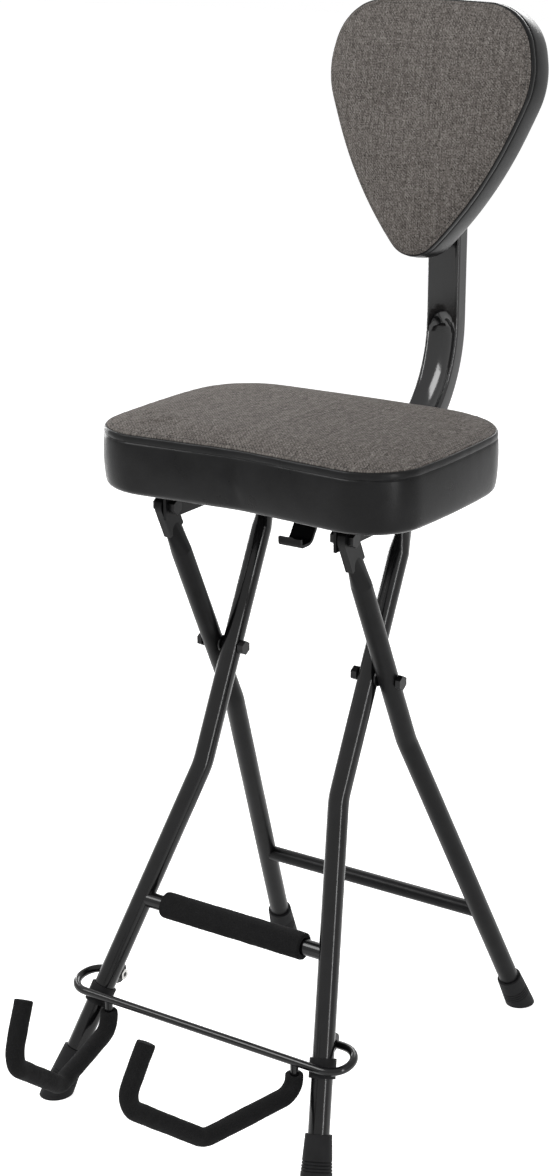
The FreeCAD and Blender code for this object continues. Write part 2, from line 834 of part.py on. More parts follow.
def make_socket():
    """Hat-section steel sleeve that the back post slides into."""
    body = new_body("post_socket")
    front = seat_rear_y - size["screw_head_diameter"] - size["socket_length"]
    section = new_sketch(body, "section", "XZ_Plane", lift=-front)
    flange_half = socket_outer_half + size["socket_flange"]
    add_run(section, [
        (-flange_half, seat_base), (-flange_half, socket_ceiling), (-socket_outer_half, socket_ceiling),
        (-socket_outer_half, socket_bottom), (socket_outer_half, socket_bottom),
        (socket_outer_half, socket_ceiling), (flange_half, socket_ceiling), (flange_half, seat_base),
    ], closed=True)
    add_rectangle(section, -socket_inner_half, socket_floor, socket_inner_half, socket_ceiling)
    add_pad(body, section, size["socket_length"], symmetric=False, reverse=True)

    holes = new_sketch(body, "screw_holes", "XY_Plane", lift=seat_base)
    for x, y in socket_screw_places():
        add_circle(holes, x, y, size["screw_diameter"] / 2)
    add_pocket(body, holes, 4 * size["socket_wall"])
    lock = new_sketch(body, "lock_hole", "XY_Plane", lift=socket_bottom)
    add_circle(lock, 0, lock_pin_y(), size["lock_hole_diameter"] / 2)
    add_pocket(body, lock, 4 * size["socket_wall"])
    return keep(body, body.Name)


def pan_screw(name, x, y, seat_z):
    """Screw driven upwards: a round head under seat_z and a shank into the seat board."""
    head = cylinder(name + "_head", size["screw_head_diameter"] / 2, size["screw_head_height"],
                    x, y, seat_z - size["screw_head_height"], "z")
    reach = seat_base + size["dust_cover"] + size["screw_bite"] - seat_z
    shank = cylinder(name + "_shank", size["screw_diameter"] / 2, reach, x, y, seat_z, "z")
    return fuse(name, [head, shank])


def make_under_seat():
    for name, side in LEFT_AND_RIGHT:
        make_rail(name, side)
    make_socket()
    rails = [pan_screw("rail_screw_%d" % index, x, y, rail_flange_bottom)
             for index, (x, y) in enumerate(rail_screw_places())]
    keep_group("rail_screws", rails)
    sockets = [pan_screw("socket_screw_%d" % index, x, y, socket_ceiling)
               for index, (x, y) in enumerate(socket_screw_places())]
    keep_group("socket_screws", sockets)


# Release lever

def lever_pivot():
    return pivot_y + size["lever_setback"], socket_bottom - size["lever_drop"]


def lock_pin_y():
    return lever_pivot()[0] + size["lever_arm"] - size["lock_pin_diameter"]


def make_lever():
    """Paddle bent from strip, rocking on a pin; its rear arm carries the lock pin."""
    pivot_lever_y, pivot_lever_z = lever_pivot()
    body = new_body("release_lever")
    strip = new_sketch(body, "strip", "XZ_Plane", lift=-size["lever_arm"])
    half = size["lever_width"] / 2
    thick = size["lever_sheet"] / 2
    add_rectangle(strip, -half, -thick, half, thick)
    path = new_sketch(body, "path", "YZ_Plane")
    fall = size["lever_fall"]
    nose = size["lever_nose"]
    bend = size["lever_barrel"]
    add_run(path, [
        (size["lever_arm"], 0),
        (-bend / 2, 0, bend),
        (-nose / 2, -fall, bend),
        (-nose, -fall, bend / 3),
        (-nose, size["lever_lip"] - fall),
    ], closed=False)
    add_pipe(body, strip, path)
    barrel = new_sketch(body, "barrel", "YZ_Plane")
    add_circle(barrel, 0, 0, size["lever_barrel"] / 2)
    add_pad(body, barrel, size["lever_width"])
    bore = new_sketch(body, "bore", "YZ_Plane")
    add_circle(bore, 0, 0, size["lever_pin_diameter"] / 2 + size["bolt_clearance"])
    add_pocket(body, bore, size["lever_width"] * 2)
    pin = new_sketch(body, "lock_pin", "XY_Plane")
    add_circle(pin, 0, lock_pin_y() - pivot_lever_y, size["lock_pin_diameter"] / 2)
    add_pad(body, pin, size["lever_drop"] + size["socket_wall"] + size["post_wall"], symmetric=False)
    place(body, y=pivot_lever_y, z=pivot_lever_z)
    keep(body, body.Name)

    bracket = new_body("lever_bracket")
    section = new_sketch(bracket, "section", "XZ_Plane", lift=-pivot_lever_y)
    ear_inner = half + gap
    ear_outer = ear_inner + size["lever_bracket_sheet"]
    ear_bottom = pivot_lever_z - size["lever_barrel"] / 2
    ceiling = socket_bottom - size["lever_bracket_sheet"]
    add_run(section, [
        (-ear_outer, socket_bottom), (-ear_outer, ear_bottom), (-ear_inner, ear_bottom),
        (-ear_inner, ceiling), (ear_inner, ceiling), (ear_inner, ear_bottom),
        (ear_outer, ear_bottom), (ear_outer, socket_bottom),
    ], closed=True)
    add_pad(bracket, section, size["lever_bracket_length"])
    holes = new_sketch(bracket, "pin_hole", "YZ_Plane")
    add_circle(holes, pivot_lever_y, pivot_lever_z, size["lever_pin_diameter"] / 2)
    add_pocket(bracket, holes, size["lever_width"] * 2)
    keep(bracket, bracket.Name)

    overhang = size["lever_bracket_sheet"] / 2
    length = 2 * (ear_outer + overhang)
    pivot_pin = cylinder("lever_pivot_pin", size["lever_pin_diameter"] / 2, length, -length / 2,
                         pivot_lever_y, pivot_lever_z)
    keep(pivot_pin, pivot_pin.Name)


# Back post with its end caps

def post_section(body, name, lift, plane, inset):
    section = new_sketch(body, name, plane, lift=lift)
    corner = size["post_corner"]
    for shrink in inset:
        half = size["post_width"] / 2 - shrink
        deep = size["post_depth"] / 2 - shrink
        add_run(section, [(-half, -deep, corner - shrink / 2), (half, -deep, corner - shrink / 2),
                          (half, deep, corner - shrink / 2), (-half, deep, corner - shrink / 2)],
                closed=True)
    return section


def make_post():
    """Rectangular tube: flat under the seat, bent up behind it."""
    body = new_body("back_post")
    tube = post_section(body, "tube", 0, "XZ_Plane", [as_size(0), size["post_wall"]])
    path = new_sketch(body, "path", "YZ_Plane")
    add_run(path, [(0, 0), (post_y - post_front_y, 0, size["post_bend_radius"]),
                   (post_y - post_front_y, size["post_top_height"] - post_centre_z)], closed=False)
    add_pipe(body, tube, path)
    lock = new_sketch(body, "lock_hole", "XY_Plane", lift=-size["post_depth"] / 2)
    add_circle(lock, 0, lock_pin_y() - post_front_y, size["lock_hole_diameter"] / 2)
    add_pocket(body, lock, 3 * size["post_wall"])
    bolts = new_sketch(body, "bracket_holes", "YZ_Plane")
    for height in (bracket_bolt_low, bracket_bolt_high):
        add_circle(bolts, post_y - post_front_y, height - post_centre_z,
                   size["bracket_bolt_diameter"] / 2 + size["bolt_clearance"])
    add_pocket(body, bolts, 2 * size["post_width"])
    place(body, y=post_front_y, z=post_centre_z)
    keep(body, body.Name)

    snug = size["post_wall"] + size["bolt_clearance"]
    for node, plane in (("post_cap_top", "XY_Plane"), ("post_cap_front", "XZ_Plane")):
        cap = new_body(node)
        plate = post_section(cap, "plate", 0, plane, [as_size(0)])
        add_pad(cap, plate, size["cap_thickness"], symmetric=False)
        plug = post_section(cap, "plug", 0, plane, [snug])
        add_pad(cap, plug, size["cap_plug"], symmetric=False, reverse=True)
        if plane == "XY_Plane":
            place(cap, y=post_y, z=size["post_top_height"])
        else:
            place(cap, y=post_front_y, z=post_centre_z)
        keep(cap, node)


# Cushions

def rounded_wire(corners, height):
    """Closed wire of lines and tangent arcs through (x, y, radius) corners."""
    points = [Vector(x, y, height) for x, y, _ in corners]
    count = len(corners)
    joints = [corner_tangents(points[index - 1], points[index], points[(index + 1) % count], corners[index][2])
              for index in range(count)]
    edges = []
    for index, (start, end, centre, _) in enumerate(joints):
        middle = centre + (points[index] - centre).normalize() * corners[index][2]
        edges.append(Part.Arc(start, middle, end).toShape())
        edges.append(Part.LineSegment(end, joints[(index + 1) % count][0]).toShape())
    return Part.Wire(edges)


def shrunken(corners, inset):
    """The same rounded outline drawn in by inset all round."""
    wire = rounded_wire(corners, 0)
    return wire.makeOffset2D(-inset) if inset else wire


def lofted(corners, levels, extra=0.0):
    """Solid through copies of the outline at (height, inset) levels."""
    wires = []
    for height, inset in levels:
        wire = shrunken(corners, inset + extra)
        wire.translate(Vector(0, 0, height))
        wires.append(wire)
    return Part.makeLoft(wires, True, True)


def slab(shape, low, high):
    """The part of a shape between two heights."""
    box = shape.BoundBox
    block = Part.makeBox(box.XLength + 2, box.YLength + 2, high - low,
                         Vector(box.XMin - 1, box.YMin - 1, low))
    return shape.common(block)


def upholstery(corners, cushion, depth, board_thickness):
    """Cover, filling, board and backing of one cushion, standing on height zero.

    The band swells a little between its drawn-in lower edge and its pinched seam, and the
    facing panel rises from the seam to its crown.
    """
    skin = size["cover_thickness"].value
    pinch = size["seam_pinch"].value
    crown = size[cushion + "_crown"].value
    run = size[cushion + "_crown_run"].value
    tuck_rise = size[cushion + "_tuck_rise"].value
    board_low = size["dust_cover"].value
    board_high = board_low + board_thickness
    rise = depth - tuck_rise
    band_levels = [(0.0, size[cushion + "_tuck"].value), (tuck_rise, pinch), (tuck_rise + 0.3 * rise, 0.0),
                   (tuck_rise + 0.7 * rise, 0.0), (depth, pinch)]
    crown_levels = [(depth, pinch), (depth + 0.45 * crown, pinch + 0.14 * run),
                    (depth + 0.8 * crown, pinch + 0.4 * run), (depth + crown, pinch + run)]
    inner_crown = [(depth, pinch)] + [(height - skin, inset) for height, inset in crown_levels[1:]]
    band_outer = lofted(corners, band_levels)
    band_inner = lofted(corners, band_levels, skin)
    dome_inner = lofted(corners, inner_crown, skin)
    dome_outer = lofted(corners, crown_levels)
    return {
        "band": band_outer.cut(band_inner),
        "panel": dome_outer.cut(dome_inner),
        "foam": slab(band_inner, board_high, depth).fuse(dome_inner).removeSplitter(),
        "board": slab(band_inner, board_low, board_high),
        "backing": slab(band_inner, 0.0, board_low),
    }


def drill(shape, places, radius, low, high):
    """Round holes at the places, from one height to another."""
    for x, y in places:
        shape = shape.cut(Part.makeCylinder(radius, high - low, Vector(x, y, low), Z_AXIS))
    return shape


def keep_shape(node, shape, placement):
    """Sub-part whose free form is set directly."""
    piece = doc.addObject("Part::Feature", node)
    piece.Shape = shape
    piece.Placement = placement
    return keep(piece, node)


def seat_outline():
    half = size["seat_width"].value / 2
    bulge = size["seat_side_bulge"].value
    dip = size["seat_front_dip"].value
    front = -size["seat_front"].value
    rear = size["seat_rear"].value
    lobe = front - 0.6 * dip
    middle = (front + rear) / 2
    flat = 8 * half
    front_radius = size["seat_front_radius"].value
    rear_radius = size["seat_rear_radius"].value
    return [(0, front + dip, half), (half - bulge, lobe, front_radius), (half, middle, flat),
            (half - bulge, rear - bulge, rear_radius), (0, rear, flat),
            (bulge - half, rear - bulge, rear_radius), (-half, middle, flat),
            (bulge - half, lobe, front_radius)]


def make_seat():
    pieces = upholstery(seat_outline(), "seat", size["seat_band_height"].value, size["seat_board"].value)
    screws = [(x.value, y.value - pivot_y.value) for x, y in rail_screw_places() + socket_screw_places()]
    radius = size["screw_diameter"].value / 2
    bite = size["dust_cover"].value + size["screw_bite"].value
    for piece in ("board", "backing"):
        pieces[piece] = drill(pieces[piece], screws, radius, 0.0, bite)
    placement = Placement(Vector(0, pivot_y.value, seat_base.value), Rotation())
    names = {"band": "seat_side_band", "panel": "seat_top_panel", "foam": "seat_foam",
             "board": "seat_board", "backing": "seat_dust_cover"}
    for piece, node in names.items():
        keep_shape(node, pieces[piece], placement)


def back_outline():
    right = [(size["back_%s_half" % part].value, rise, size["back_%s_radius" % part].value)
             for part, rise in (("flank", -size["back_flank_drop"].value),
                                ("wide", size["back_wide_rise"].value),
                                ("shoulder", size["back_shoulder_rise"].value))]
    tip = (0, -size["back_tip_drop"].value, size["back_tip_radius"].value)
    top = (0, size["back_top_rise"].value, size["back_top_radius"].value)
    left = [(-x, y, radius) for x, y, radius in reversed(right)]
    return [tip] + right + [top] + left


def back_placement():
    """The pad's back plane: its local x runs across, y up the pad and z towards the sitter."""
    base = Vector(0, pivot_y.value + size["back_setback"].value, back_centre_height.value)
    return Placement(base, Rotation(X_AXIS, 90 - size["back_recline"].value))


def back_screw_places():
    """Screw centres on the pad's back plane, in its own x and y."""
    recline = cosine(size["back_recline"]).value
    x = (cheek_outer_half.value + size["bracket_width"].value / 2) / 2
    inset = size["screw_head_diameter"].value
    low = (bracket_bottom - back_centre_height).value / recline + inset
    high = (bracket_top - back_centre_height).value / recline - inset
    return [(side * x, y) for _, side in LEFT_AND_RIGHT for y in (low, high)]


def make_back():
    pieces = upholstery(back_outline(), "back", size["back_depth"].value, size["back_board"].value)
    radius = size["screw_diameter"].value / 2
    sheet_metal = size["bracket_sheet"].value
    bite = size["dust_cover"].value + size["back_screw_bite"].value
    for piece in ("board", "backing"):
        pieces[piece] = drill(pieces[piece], back_screw_places(), radius, 0.0, bite)
    names = {"band": "back_side_band", "panel": "back_front_panel", "foam": "back_foam",
             "board": "back_board", "backing": "back_rear_cover"}
    for piece, node in names.items():
        keep_shape(node, pieces[piece], back_placement())
    head_height = size["screw_head_height"].value
    head_radius = size["screw_head_diameter"].value / 2
    screws = []
    for x, y in back_screw_places():
        head = Part.makeCylinder(head_radius, head_height, Vector(x, y, -sheet_metal - head_height), Z_AXIS)
        shank = Part.makeCylinder(radius, sheet_metal + bite, Vector(x, y, -sheet_metal), Z_AXIS)
        screws.append(head.fuse(shank))
    keep_shape("back_screws", Part.makeCompound(screws), back_placement())


# Bracket that carries the back pad on the post

def back_plane_y(height):
    """Y of the pad's back plane at a height."""
    lean = sine(size["back_recline"]) / cosine(size["back_recline"])
    return pivot_y + size["back_setback"] + (height - back_centre_height) * lean


def make_bracket():
    """Folded steel: a plate against the pad's board and two cheeks that clasp the post."""
    body = new_body("back_bracket_folded")
    sheet_metal = size["bracket_sheet"]
    thick = sheet_metal / cosine(size["back_recline"])
    low, high = bracket_bottom, bracket_top
    cheek_low = low + size["bracket_cheek_inset"]
    cheek_top = size["post_top_height"] - size["bracket_bolt_diameter"]
    cheek_toe = bracket_bolt_low - size["bracket_bolt_diameter"] * 1.5
    rear = post_y + size["post_depth"] / 2
    cheeks = new_sketch(body, "cheeks", "YZ_Plane")
    add_run(cheeks, [(back_plane_y(cheek_low), cheek_low), (rear, cheek_toe), (rear, cheek_top),
                     (back_plane_y(cheek_top), cheek_top)], closed=True)
    add_pad(body, cheeks, 2 * cheek_outer_half)
    channel = new_sketch(body, "channel", "YZ_Plane")
    add_run(channel, [
        (back_plane_y(low) + thick, low), (rear + sheet_metal, low),
        (rear + sheet_metal, high), (back_plane_y(high) + thick, high),
    ], closed=True)
    add_pocket(body, channel, size["post_width"])
    plate = new_sketch(body, "plate", "YZ_Plane")
    add_run(plate, [
        (back_plane_y(low), low), (back_plane_y(low) + thick, low),
        (back_plane_y(high) + thick, high), (back_plane_y(high), high),
    ], closed=True)
    add_pad(body, plate, size["bracket_width"])
    bolts = new_sketch(body, "bolt_holes", "YZ_Plane")
    bolt_hole_radius = size["bracket_bolt_diameter"] / 2 + size["bolt_clearance"]
    for height in (bracket_bolt_low, bracket_bolt_high):
        add_circle(bolts, post_y, height, bolt_hole_radius)
    add_pocket(body, bolts, 2 * size["bracket_width"])
    holes = [Part.makeCylinder(size["screw_diameter"].value / 2, 4 * sheet_metal.value,
                               Vector(x, y, -2 * sheet_metal.value), Z_AXIS) for x, y in back_screw_places()]
    drills = doc.addObject("Part::Feature", "back_screw_drills")
    drills.Shape = Part.makeCompound(holes)
    drills.Placement = back_placement()
    drilled = cut("back_bracket_drilled", body, drills)
    keep(drilled, "back_bracket")

    half = cheek_outer_half
    radius = size["bracket_bolt_diameter"] / 2
    bolts = []
    for name, height in (("low", bracket_bolt_low), ("high", bracket_bolt_high)):
        shank = cylinder("bracket_shank_" + name, radius, 2 * half, -half, post_y, height)
        heads = [cylinder("bracket_head_%s_%s" % (name, hand), 2 * radius, radius,
                          half if side > 0 else -half - radius, post_y, height)
                 for hand, side in LEFT_AND_RIGHT]
        bolts.append(fuse("bracket_bolt_" + name, [shank] + heads))
    keep_group("bracket_bolts", bolts)


# Guitar cradle

lug_half = front_frame.half_at(size["lug_height"])
lug_inner = lug_half - size["lug_thickness"] / 2
cradle_y = pivot_y - (pivot_height - size["lug_height"]) * leg_slope + size["lug_offset"] / leg_slant
cradle_z = size["lug_height"] - size["lug_offset"] * leg_slope / leg_slant
bar_offset = size["collar_diameter"] / 2 + gap + rod_radius
bar_y = pivot_y - (pivot_height - size["collar_height"]) * leg_slope - bar_offset / leg_slant
bar_z = size["collar_height"] + bar_offset * leg_slope / leg_slant
shoulder_half = lug_inner + size["lug_thickness"] + gap
thread_half = lug_inner - gap
spigot_hole = size["spigot_diameter"] / 2 + size["bolt_clearance"]


def make_lugs():
    """Plates welded behind the front legs, each with a hole that the cradle turns in."""
    for name, side in LEFT_AND_RIGHT:
        body = new_body("cradle_lug_%s" % name)
        plate = new_sketch(body, "plate", "YZ_Plane", lift=side * lug_half)
        z = front_frame.along(size["lug_height"])
        radius = size["lug_radius"]
        tip = size["lug_offset"] + radius
        add_run(plate, [(0, z - 1.6 * radius), (tip, z - radius, radius * 0.95),
                        (tip, z + radius, radius * 0.95), (0, z + 1.6 * radius)], closed=True)
        add_circle(plate, size["lug_offset"], z, spigot_hole)
        add_pad(body, plate, size["lug_thickness"])
        section = leg_section(body, front_frame, side, [leg_radius], "cope")
        add_pipe(body, section, leg_path(body, front_frame, side), "PartDesign::SubtractivePipe")
        front_frame.lay(body)
        keep(body, body.Name)


def make_bail():
    """One steel rod across the front of both legs and round them, its ends turned down to spigots."""
    body = new_body("cradle_bail")
    reach_y = cradle_y - bar_y
    reach_z = cradle_z - bar_z
    reach = root(reach_y * reach_y + reach_z * reach_z)
    turn = reach / 2 * 0.98
    loop = lug_half + size["loop_overhang"]
    section = new_sketch(body, "rod", "YZ_Plane", lift=shoulder_half)
    add_circle(section, 0, 0, rod_radius)
    path = new_sketch(body, "path", "XY_Plane")
    add_run(path, [(shoulder_half, 0), (loop, 0, turn), (loop, reach, turn), (-loop, reach, turn),
                   (-loop, 0, turn), (-shoulder_half, 0)], closed=False)
    add_pipe(body, section, path)
    for name, side in LEFT_AND_RIGHT:
        spigot = new_sketch(body, "spigot_" + name, "YZ_Plane", lift=side * shoulder_half)
        add_circle(spigot, 0, 0, size["spigot_diameter"] / 2)
        add_pad(body, spigot, shoulder_half - thread_half, symmetric=False, reverse=side > 0)
        thread = new_sketch(body, "thread_" + name, "YZ_Plane", lift=side * thread_half)
        add_circle(thread, 0, 0, size["spigot_thread_diameter"] / 2)
        add_pad(body, thread, size["cradle_nut_height"], symmetric=False, reverse=side > 0)
    place(body, y=cradle_y, z=cradle_z, axis=X_AXIS, angle=180 + arc_tangent(reach_z / reach_y))
    return keep(body, body.Name)


def hook_path(body, start, beyond):
    """Centre line of a hook in its own plane, drawn past the tip by beyond."""
    path = new_sketch(body, "path", "YZ_Plane")
    back, rise = size["hook_tip_back"], size["hook_tip_rise"]
    tip_length = root(back * back + rise * rise)
    stretch = 1 + as_size(beyond) / tip_length
    add_run(path, [
        (0, -start), (0, -size["hook_drop"], size["hook_stem_radius"]),
        (-size["hook_run"], -size["hook_drop"], size["hook_elbow_radius"]),
        (-size["hook_reach"], size["hook_rise"], size["hook_elbow_radius"]),
        (back * stretch - size["hook_reach"], size["hook_rise"] + rise * stretch),
    ], closed=False)
    return path


def make_hook(name, side, bar):
    rod_body = new_body("hook_rod_%s_bent" % name)
    rod = new_sketch(rod_body, "rod", "XY_Plane", lift=-rod_radius / 2)
    add_circle(rod, 0, 0, rod_radius)
    add_pipe(rod_body, rod, hook_path(rod_body, rod_radius / 2, 0))
    place(rod_body, side * size["hook_half"], bar_y, bar_z, Z_AXIS, -side * size["hook_toe_in"])
    keep(cut("hook_rod_%s" % name, rod_body, bar), "hook_rod_%s" % name)

    sleeve = new_body("hook_sleeve_%s" % name)
    outside = new_sketch(sleeve, "outside", "XY_Plane", lift=-size["sleeve_start"])
    add_circle(outside, 0, 0, size["sleeve_diameter"] / 2)
    add_pipe(sleeve, outside, hook_path(sleeve, size["sleeve_start"], size["sleeve_end"]))
    bore = new_sketch(sleeve, "bore", "XY_Plane", lift=-size["sleeve_start"])
    add_circle(bore, 0, 0, rod_radius)
    add_pipe(sleeve, bore, hook_path(sleeve, size["sleeve_start"], 0), "PartDesign::SubtractivePipe")
    place(sleeve, side * size["hook_half"], bar_y, bar_z, Z_AXIS, -side * size["hook_toe_in"])
    keep(sleeve, sleeve.Name)


def make_cradle():
    make_lugs()
    make_bail()
    bar = cylinder("bail_bar", rod_radius, 2 * size["hook_half"] + size["sleeve_diameter"],
                   -size["hook_half"] - size["sleeve_diameter"] / 2, bar_y, bar_z)
    nuts = []
    hole_radius = size["spigot_thread_diameter"] / 2 + size["bolt_clearance"]
    for name, side in LEFT_AND_RIGHT:
        make_hook(name, side, bar)
        start, length = span(side, thread_half - size["cradle_nut_height"], thread_half)
        block = hexagon("cradle_hex_" + name, size["cradle_nut_width"], length, start, cradle_y, cradle_z)
        hole = cylinder("cradle_thread_" + name, hole_radius, length, start, cradle_y, cradle_z)
        nuts.append(cut("cradle_nut_" + name, block, hole))
    keep_group("cradle_nuts", nuts)


def check_and_write():
    doc.recompute()
    for thing in doc.Objects:
        if "Invalid" in thing.State or "Error" in thing.State:
            raise RuntimeError("%s failed: %s" % (thing.Name, thing.State))
    for thing in sub_parts:
        shape = thing.Shape
        if shape.isNull() or not shape.isValid() or not shape.Solids:
            raise RuntimeError("%s has no sound solid" % thing.Label)
    os.makedirs("parts", exist_ok=True)
    for thing in sub_parts:
        thing.Shape.exportStep(os.path.join("parts", thing.Label + ".step"))


make_leg_frames()
make_pivot_fasteners()
make_hinge_fasteners()
make_slider_fasteners()
make_under_seat()
make_lever()
make_post()
make_seat()
make_back()
make_bracket()
make_cradle()
check_and_write()
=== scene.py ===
"""Dressing for a folding guitar stool: upholstery, foam, finishes, studio and camera."""
import json
import math

import bmesh
import bpy
from mathutils import Matrix, Vector, noise


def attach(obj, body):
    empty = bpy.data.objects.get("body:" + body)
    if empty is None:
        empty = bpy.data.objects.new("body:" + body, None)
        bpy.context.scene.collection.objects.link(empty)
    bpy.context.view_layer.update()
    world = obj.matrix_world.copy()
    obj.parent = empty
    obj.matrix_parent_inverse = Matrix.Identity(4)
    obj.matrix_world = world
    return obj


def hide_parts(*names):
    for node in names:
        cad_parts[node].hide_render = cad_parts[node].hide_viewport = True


bl_info = {
    "name": "Guitar stool dressing",
    "version": (1, 0, 0),
    "blender": (4, 5, 0),
    "location": "View3D > Sidebar > Stool",
    "description": "Upholstery, foam sleeves, finishes and studio for a folding guitar stool",
    "category": "Object",
}

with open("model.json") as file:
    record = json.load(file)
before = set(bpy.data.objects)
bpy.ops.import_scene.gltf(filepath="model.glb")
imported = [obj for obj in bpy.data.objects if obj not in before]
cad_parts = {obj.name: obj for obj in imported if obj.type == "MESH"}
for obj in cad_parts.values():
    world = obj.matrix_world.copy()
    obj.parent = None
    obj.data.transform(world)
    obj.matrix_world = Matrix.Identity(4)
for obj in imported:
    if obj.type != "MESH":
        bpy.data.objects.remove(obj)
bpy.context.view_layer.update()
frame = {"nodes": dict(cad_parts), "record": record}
nodes = frame["nodes"]

MILLIMETRE = 0.001
UP = (0.0, 0.0, 1.0)
MERGE_DISTANCE = 1e-6
SHARP_ANGLE = math.radians(40.0)

# Span in which most values of a noise texture lie
NOISE_LOW, NOISE_HIGH = 0.3, 0.7

# Index of refraction of each coat of paint
GLOSS_IOR = 1.36
SATIN_IOR = 1.22
BOLT_IOR = 1.3
POST_IOR = 1.52
BOLT_ROUGHNESS = 0.34
BOLT_SHADE = 1.6

# Roll-over of a facing panel's edge, its dome, and how far the band tucks under
SEAT_FORM = (6.0 * MILLIMETRE, 1.5 * MILLIMETRE, 7.0 * MILLIMETRE)
BACK_FORM = (7.5 * MILLIMETRE, 2.5 * MILLIMETRE, 5.0 * MILLIMETRE)

# Rings of a side band in millimetres. The tuck has heights and insets, the side has insets at even
# steps, and the edge has drops below the seam and insets.
BAND_TUCK = ((6.0, 11.0), (0.6, 8.6), (0.0, 6.8), (0.3, 5.0), (1.2, 3.2), (3.0, 1.4), (5.0, 0.2))
BAND_SIDE = (-0.6, -1.0, -1.3, -1.4, -1.4, -1.2, -0.9)
BAND_EDGE = ((8.2, -0.4), (7.5, 0.5), (6.8, -0.4), (5.0, -0.7), (2.6, -0.6), (0.9, 0.0), (0.0, 1.0),
             (0.7, 2.8), (3.2, 5.5))
USUAL_TUCK = 7.0 * MILLIMETRE
BAND_FOOT = 5.0 * MILLIMETRE
BAND_EDGE_DROP = 9.0 * MILLIMETRE

# Rings of a facing panel: rises above the seam and insets in millimetres, then shares of its width
PANEL_EDGE = ((-3.5, 4.5), (-0.9, 1.9), (0.3, 1.1), (1.1, 1.7), (1.9, 2.9))
PANEL_SHARES = (0.99, 0.975, 0.957, 0.935, 0.905, 0.865, 0.815, 0.755, 0.68, 0.6, 0.51, 0.41, 0.3, 0.18,
                0.08)

# Rings of a felt's face, inside its turned edge
FELT_INSETS = (0.9 * MILLIMETRE, 3.0 * MILLIMETRE, 7.0 * MILLIMETRE)
FELT_SHARES = (0.92, 0.8, 0.6, 0.35, 0.12)

CLOTH_FRAMES = 20
CLOTH_SETTINGS = {
    "quality": 6,
    "mass": 0.3,
    "tension_stiffness": 25.0,
    "compression_stiffness": 25.0,
    "shear_stiffness": 10.0,
    "bending_stiffness": 1.0,
    "use_pressure": True,
}

# Smoothing passes and remeshing
OUTLINE_PASSES = 6
SLEEVE_PASSES = 2
SLEEVE_VOXEL = 1.3 * MILLIMETRE

STAPLE_LENGTH = 9.0 * MILLIMETRE
STAPLE_THICKNESS = 1.0 * MILLIMETRE
STAPLE_LIFT = 0.1 * MILLIMETRE

# Cuts that give the post's bend enough vertices for its trough
POST_TURNS = [math.radians(3.0 * step) for step in range(-1, 36)]
POST_SLICES = [1.5 * MILLIMETRE * step for step in range(-11, 12)]

# Each lamp's name, place, aim, size and the setting that holds its power
LAMPS = (
    ("key_softbox", (-1.4, -1.7, 2.7), (0.0, 0.0, 0.6), (1.4, 1.4), "key_power"),
    ("right_strip", (2.2, -0.7, 1.0), (0.0, 0.0, 0.5), (0.22, 1.9), "side_power"),
    ("left_strip", (-2.0, 0.9, 1.1), (0.0, 0.0, 0.5), (0.22, 1.9), "side_power"),
    ("back_softbox", (-0.6, 2.3, 1.9), (0.0, 0.1, 0.7), (1.4, 1.0), "back_power"),
)
SENSOR_WIDTH = 36.0
FLOOR_HALF = 15.0
FLOOR_GLOW = 0.7
PAPER = (0.8, 0.8, 0.8, 1.0)
WHITE = (1.0, 1.0, 1.0, 1.0)


class StoolStudio(bpy.types.PropertyGroup):
    """Camera and lamps."""

    camera_place: bpy.props.FloatVectorProperty(
        name="Camera place", description="Where the camera stands", subtype="XYZ", unit="LENGTH",
        default=(1.0906, -1.6699, 1.1846))
    camera_aim: bpy.props.FloatVectorProperty(
        name="Camera aim", description="Point in the middle of the picture", subtype="XYZ", unit="LENGTH",
        default=(-0.0001, 0.0027, 0.5233))
    lens: bpy.props.FloatProperty(
        name="Lens", description="Focal length on a 36 mm long side", default=66.36, unit="CAMERA")
    key_power: bpy.props.FloatProperty(
        name="Key power", description="Softbox in front on the left", default=62.0, unit="POWER")
    side_power: bpy.props.FloatProperty(
        name="Side power", description="Tall strip boxes on both sides", default=20.0, unit="POWER")
    back_power: bpy.props.FloatProperty(
        name="Back power", description="Softbox behind and above", default=30.0, unit="POWER")
    room_light: bpy.props.FloatProperty(
        name="Room light", description="Even light from all round", default=0.36, min=0.0)


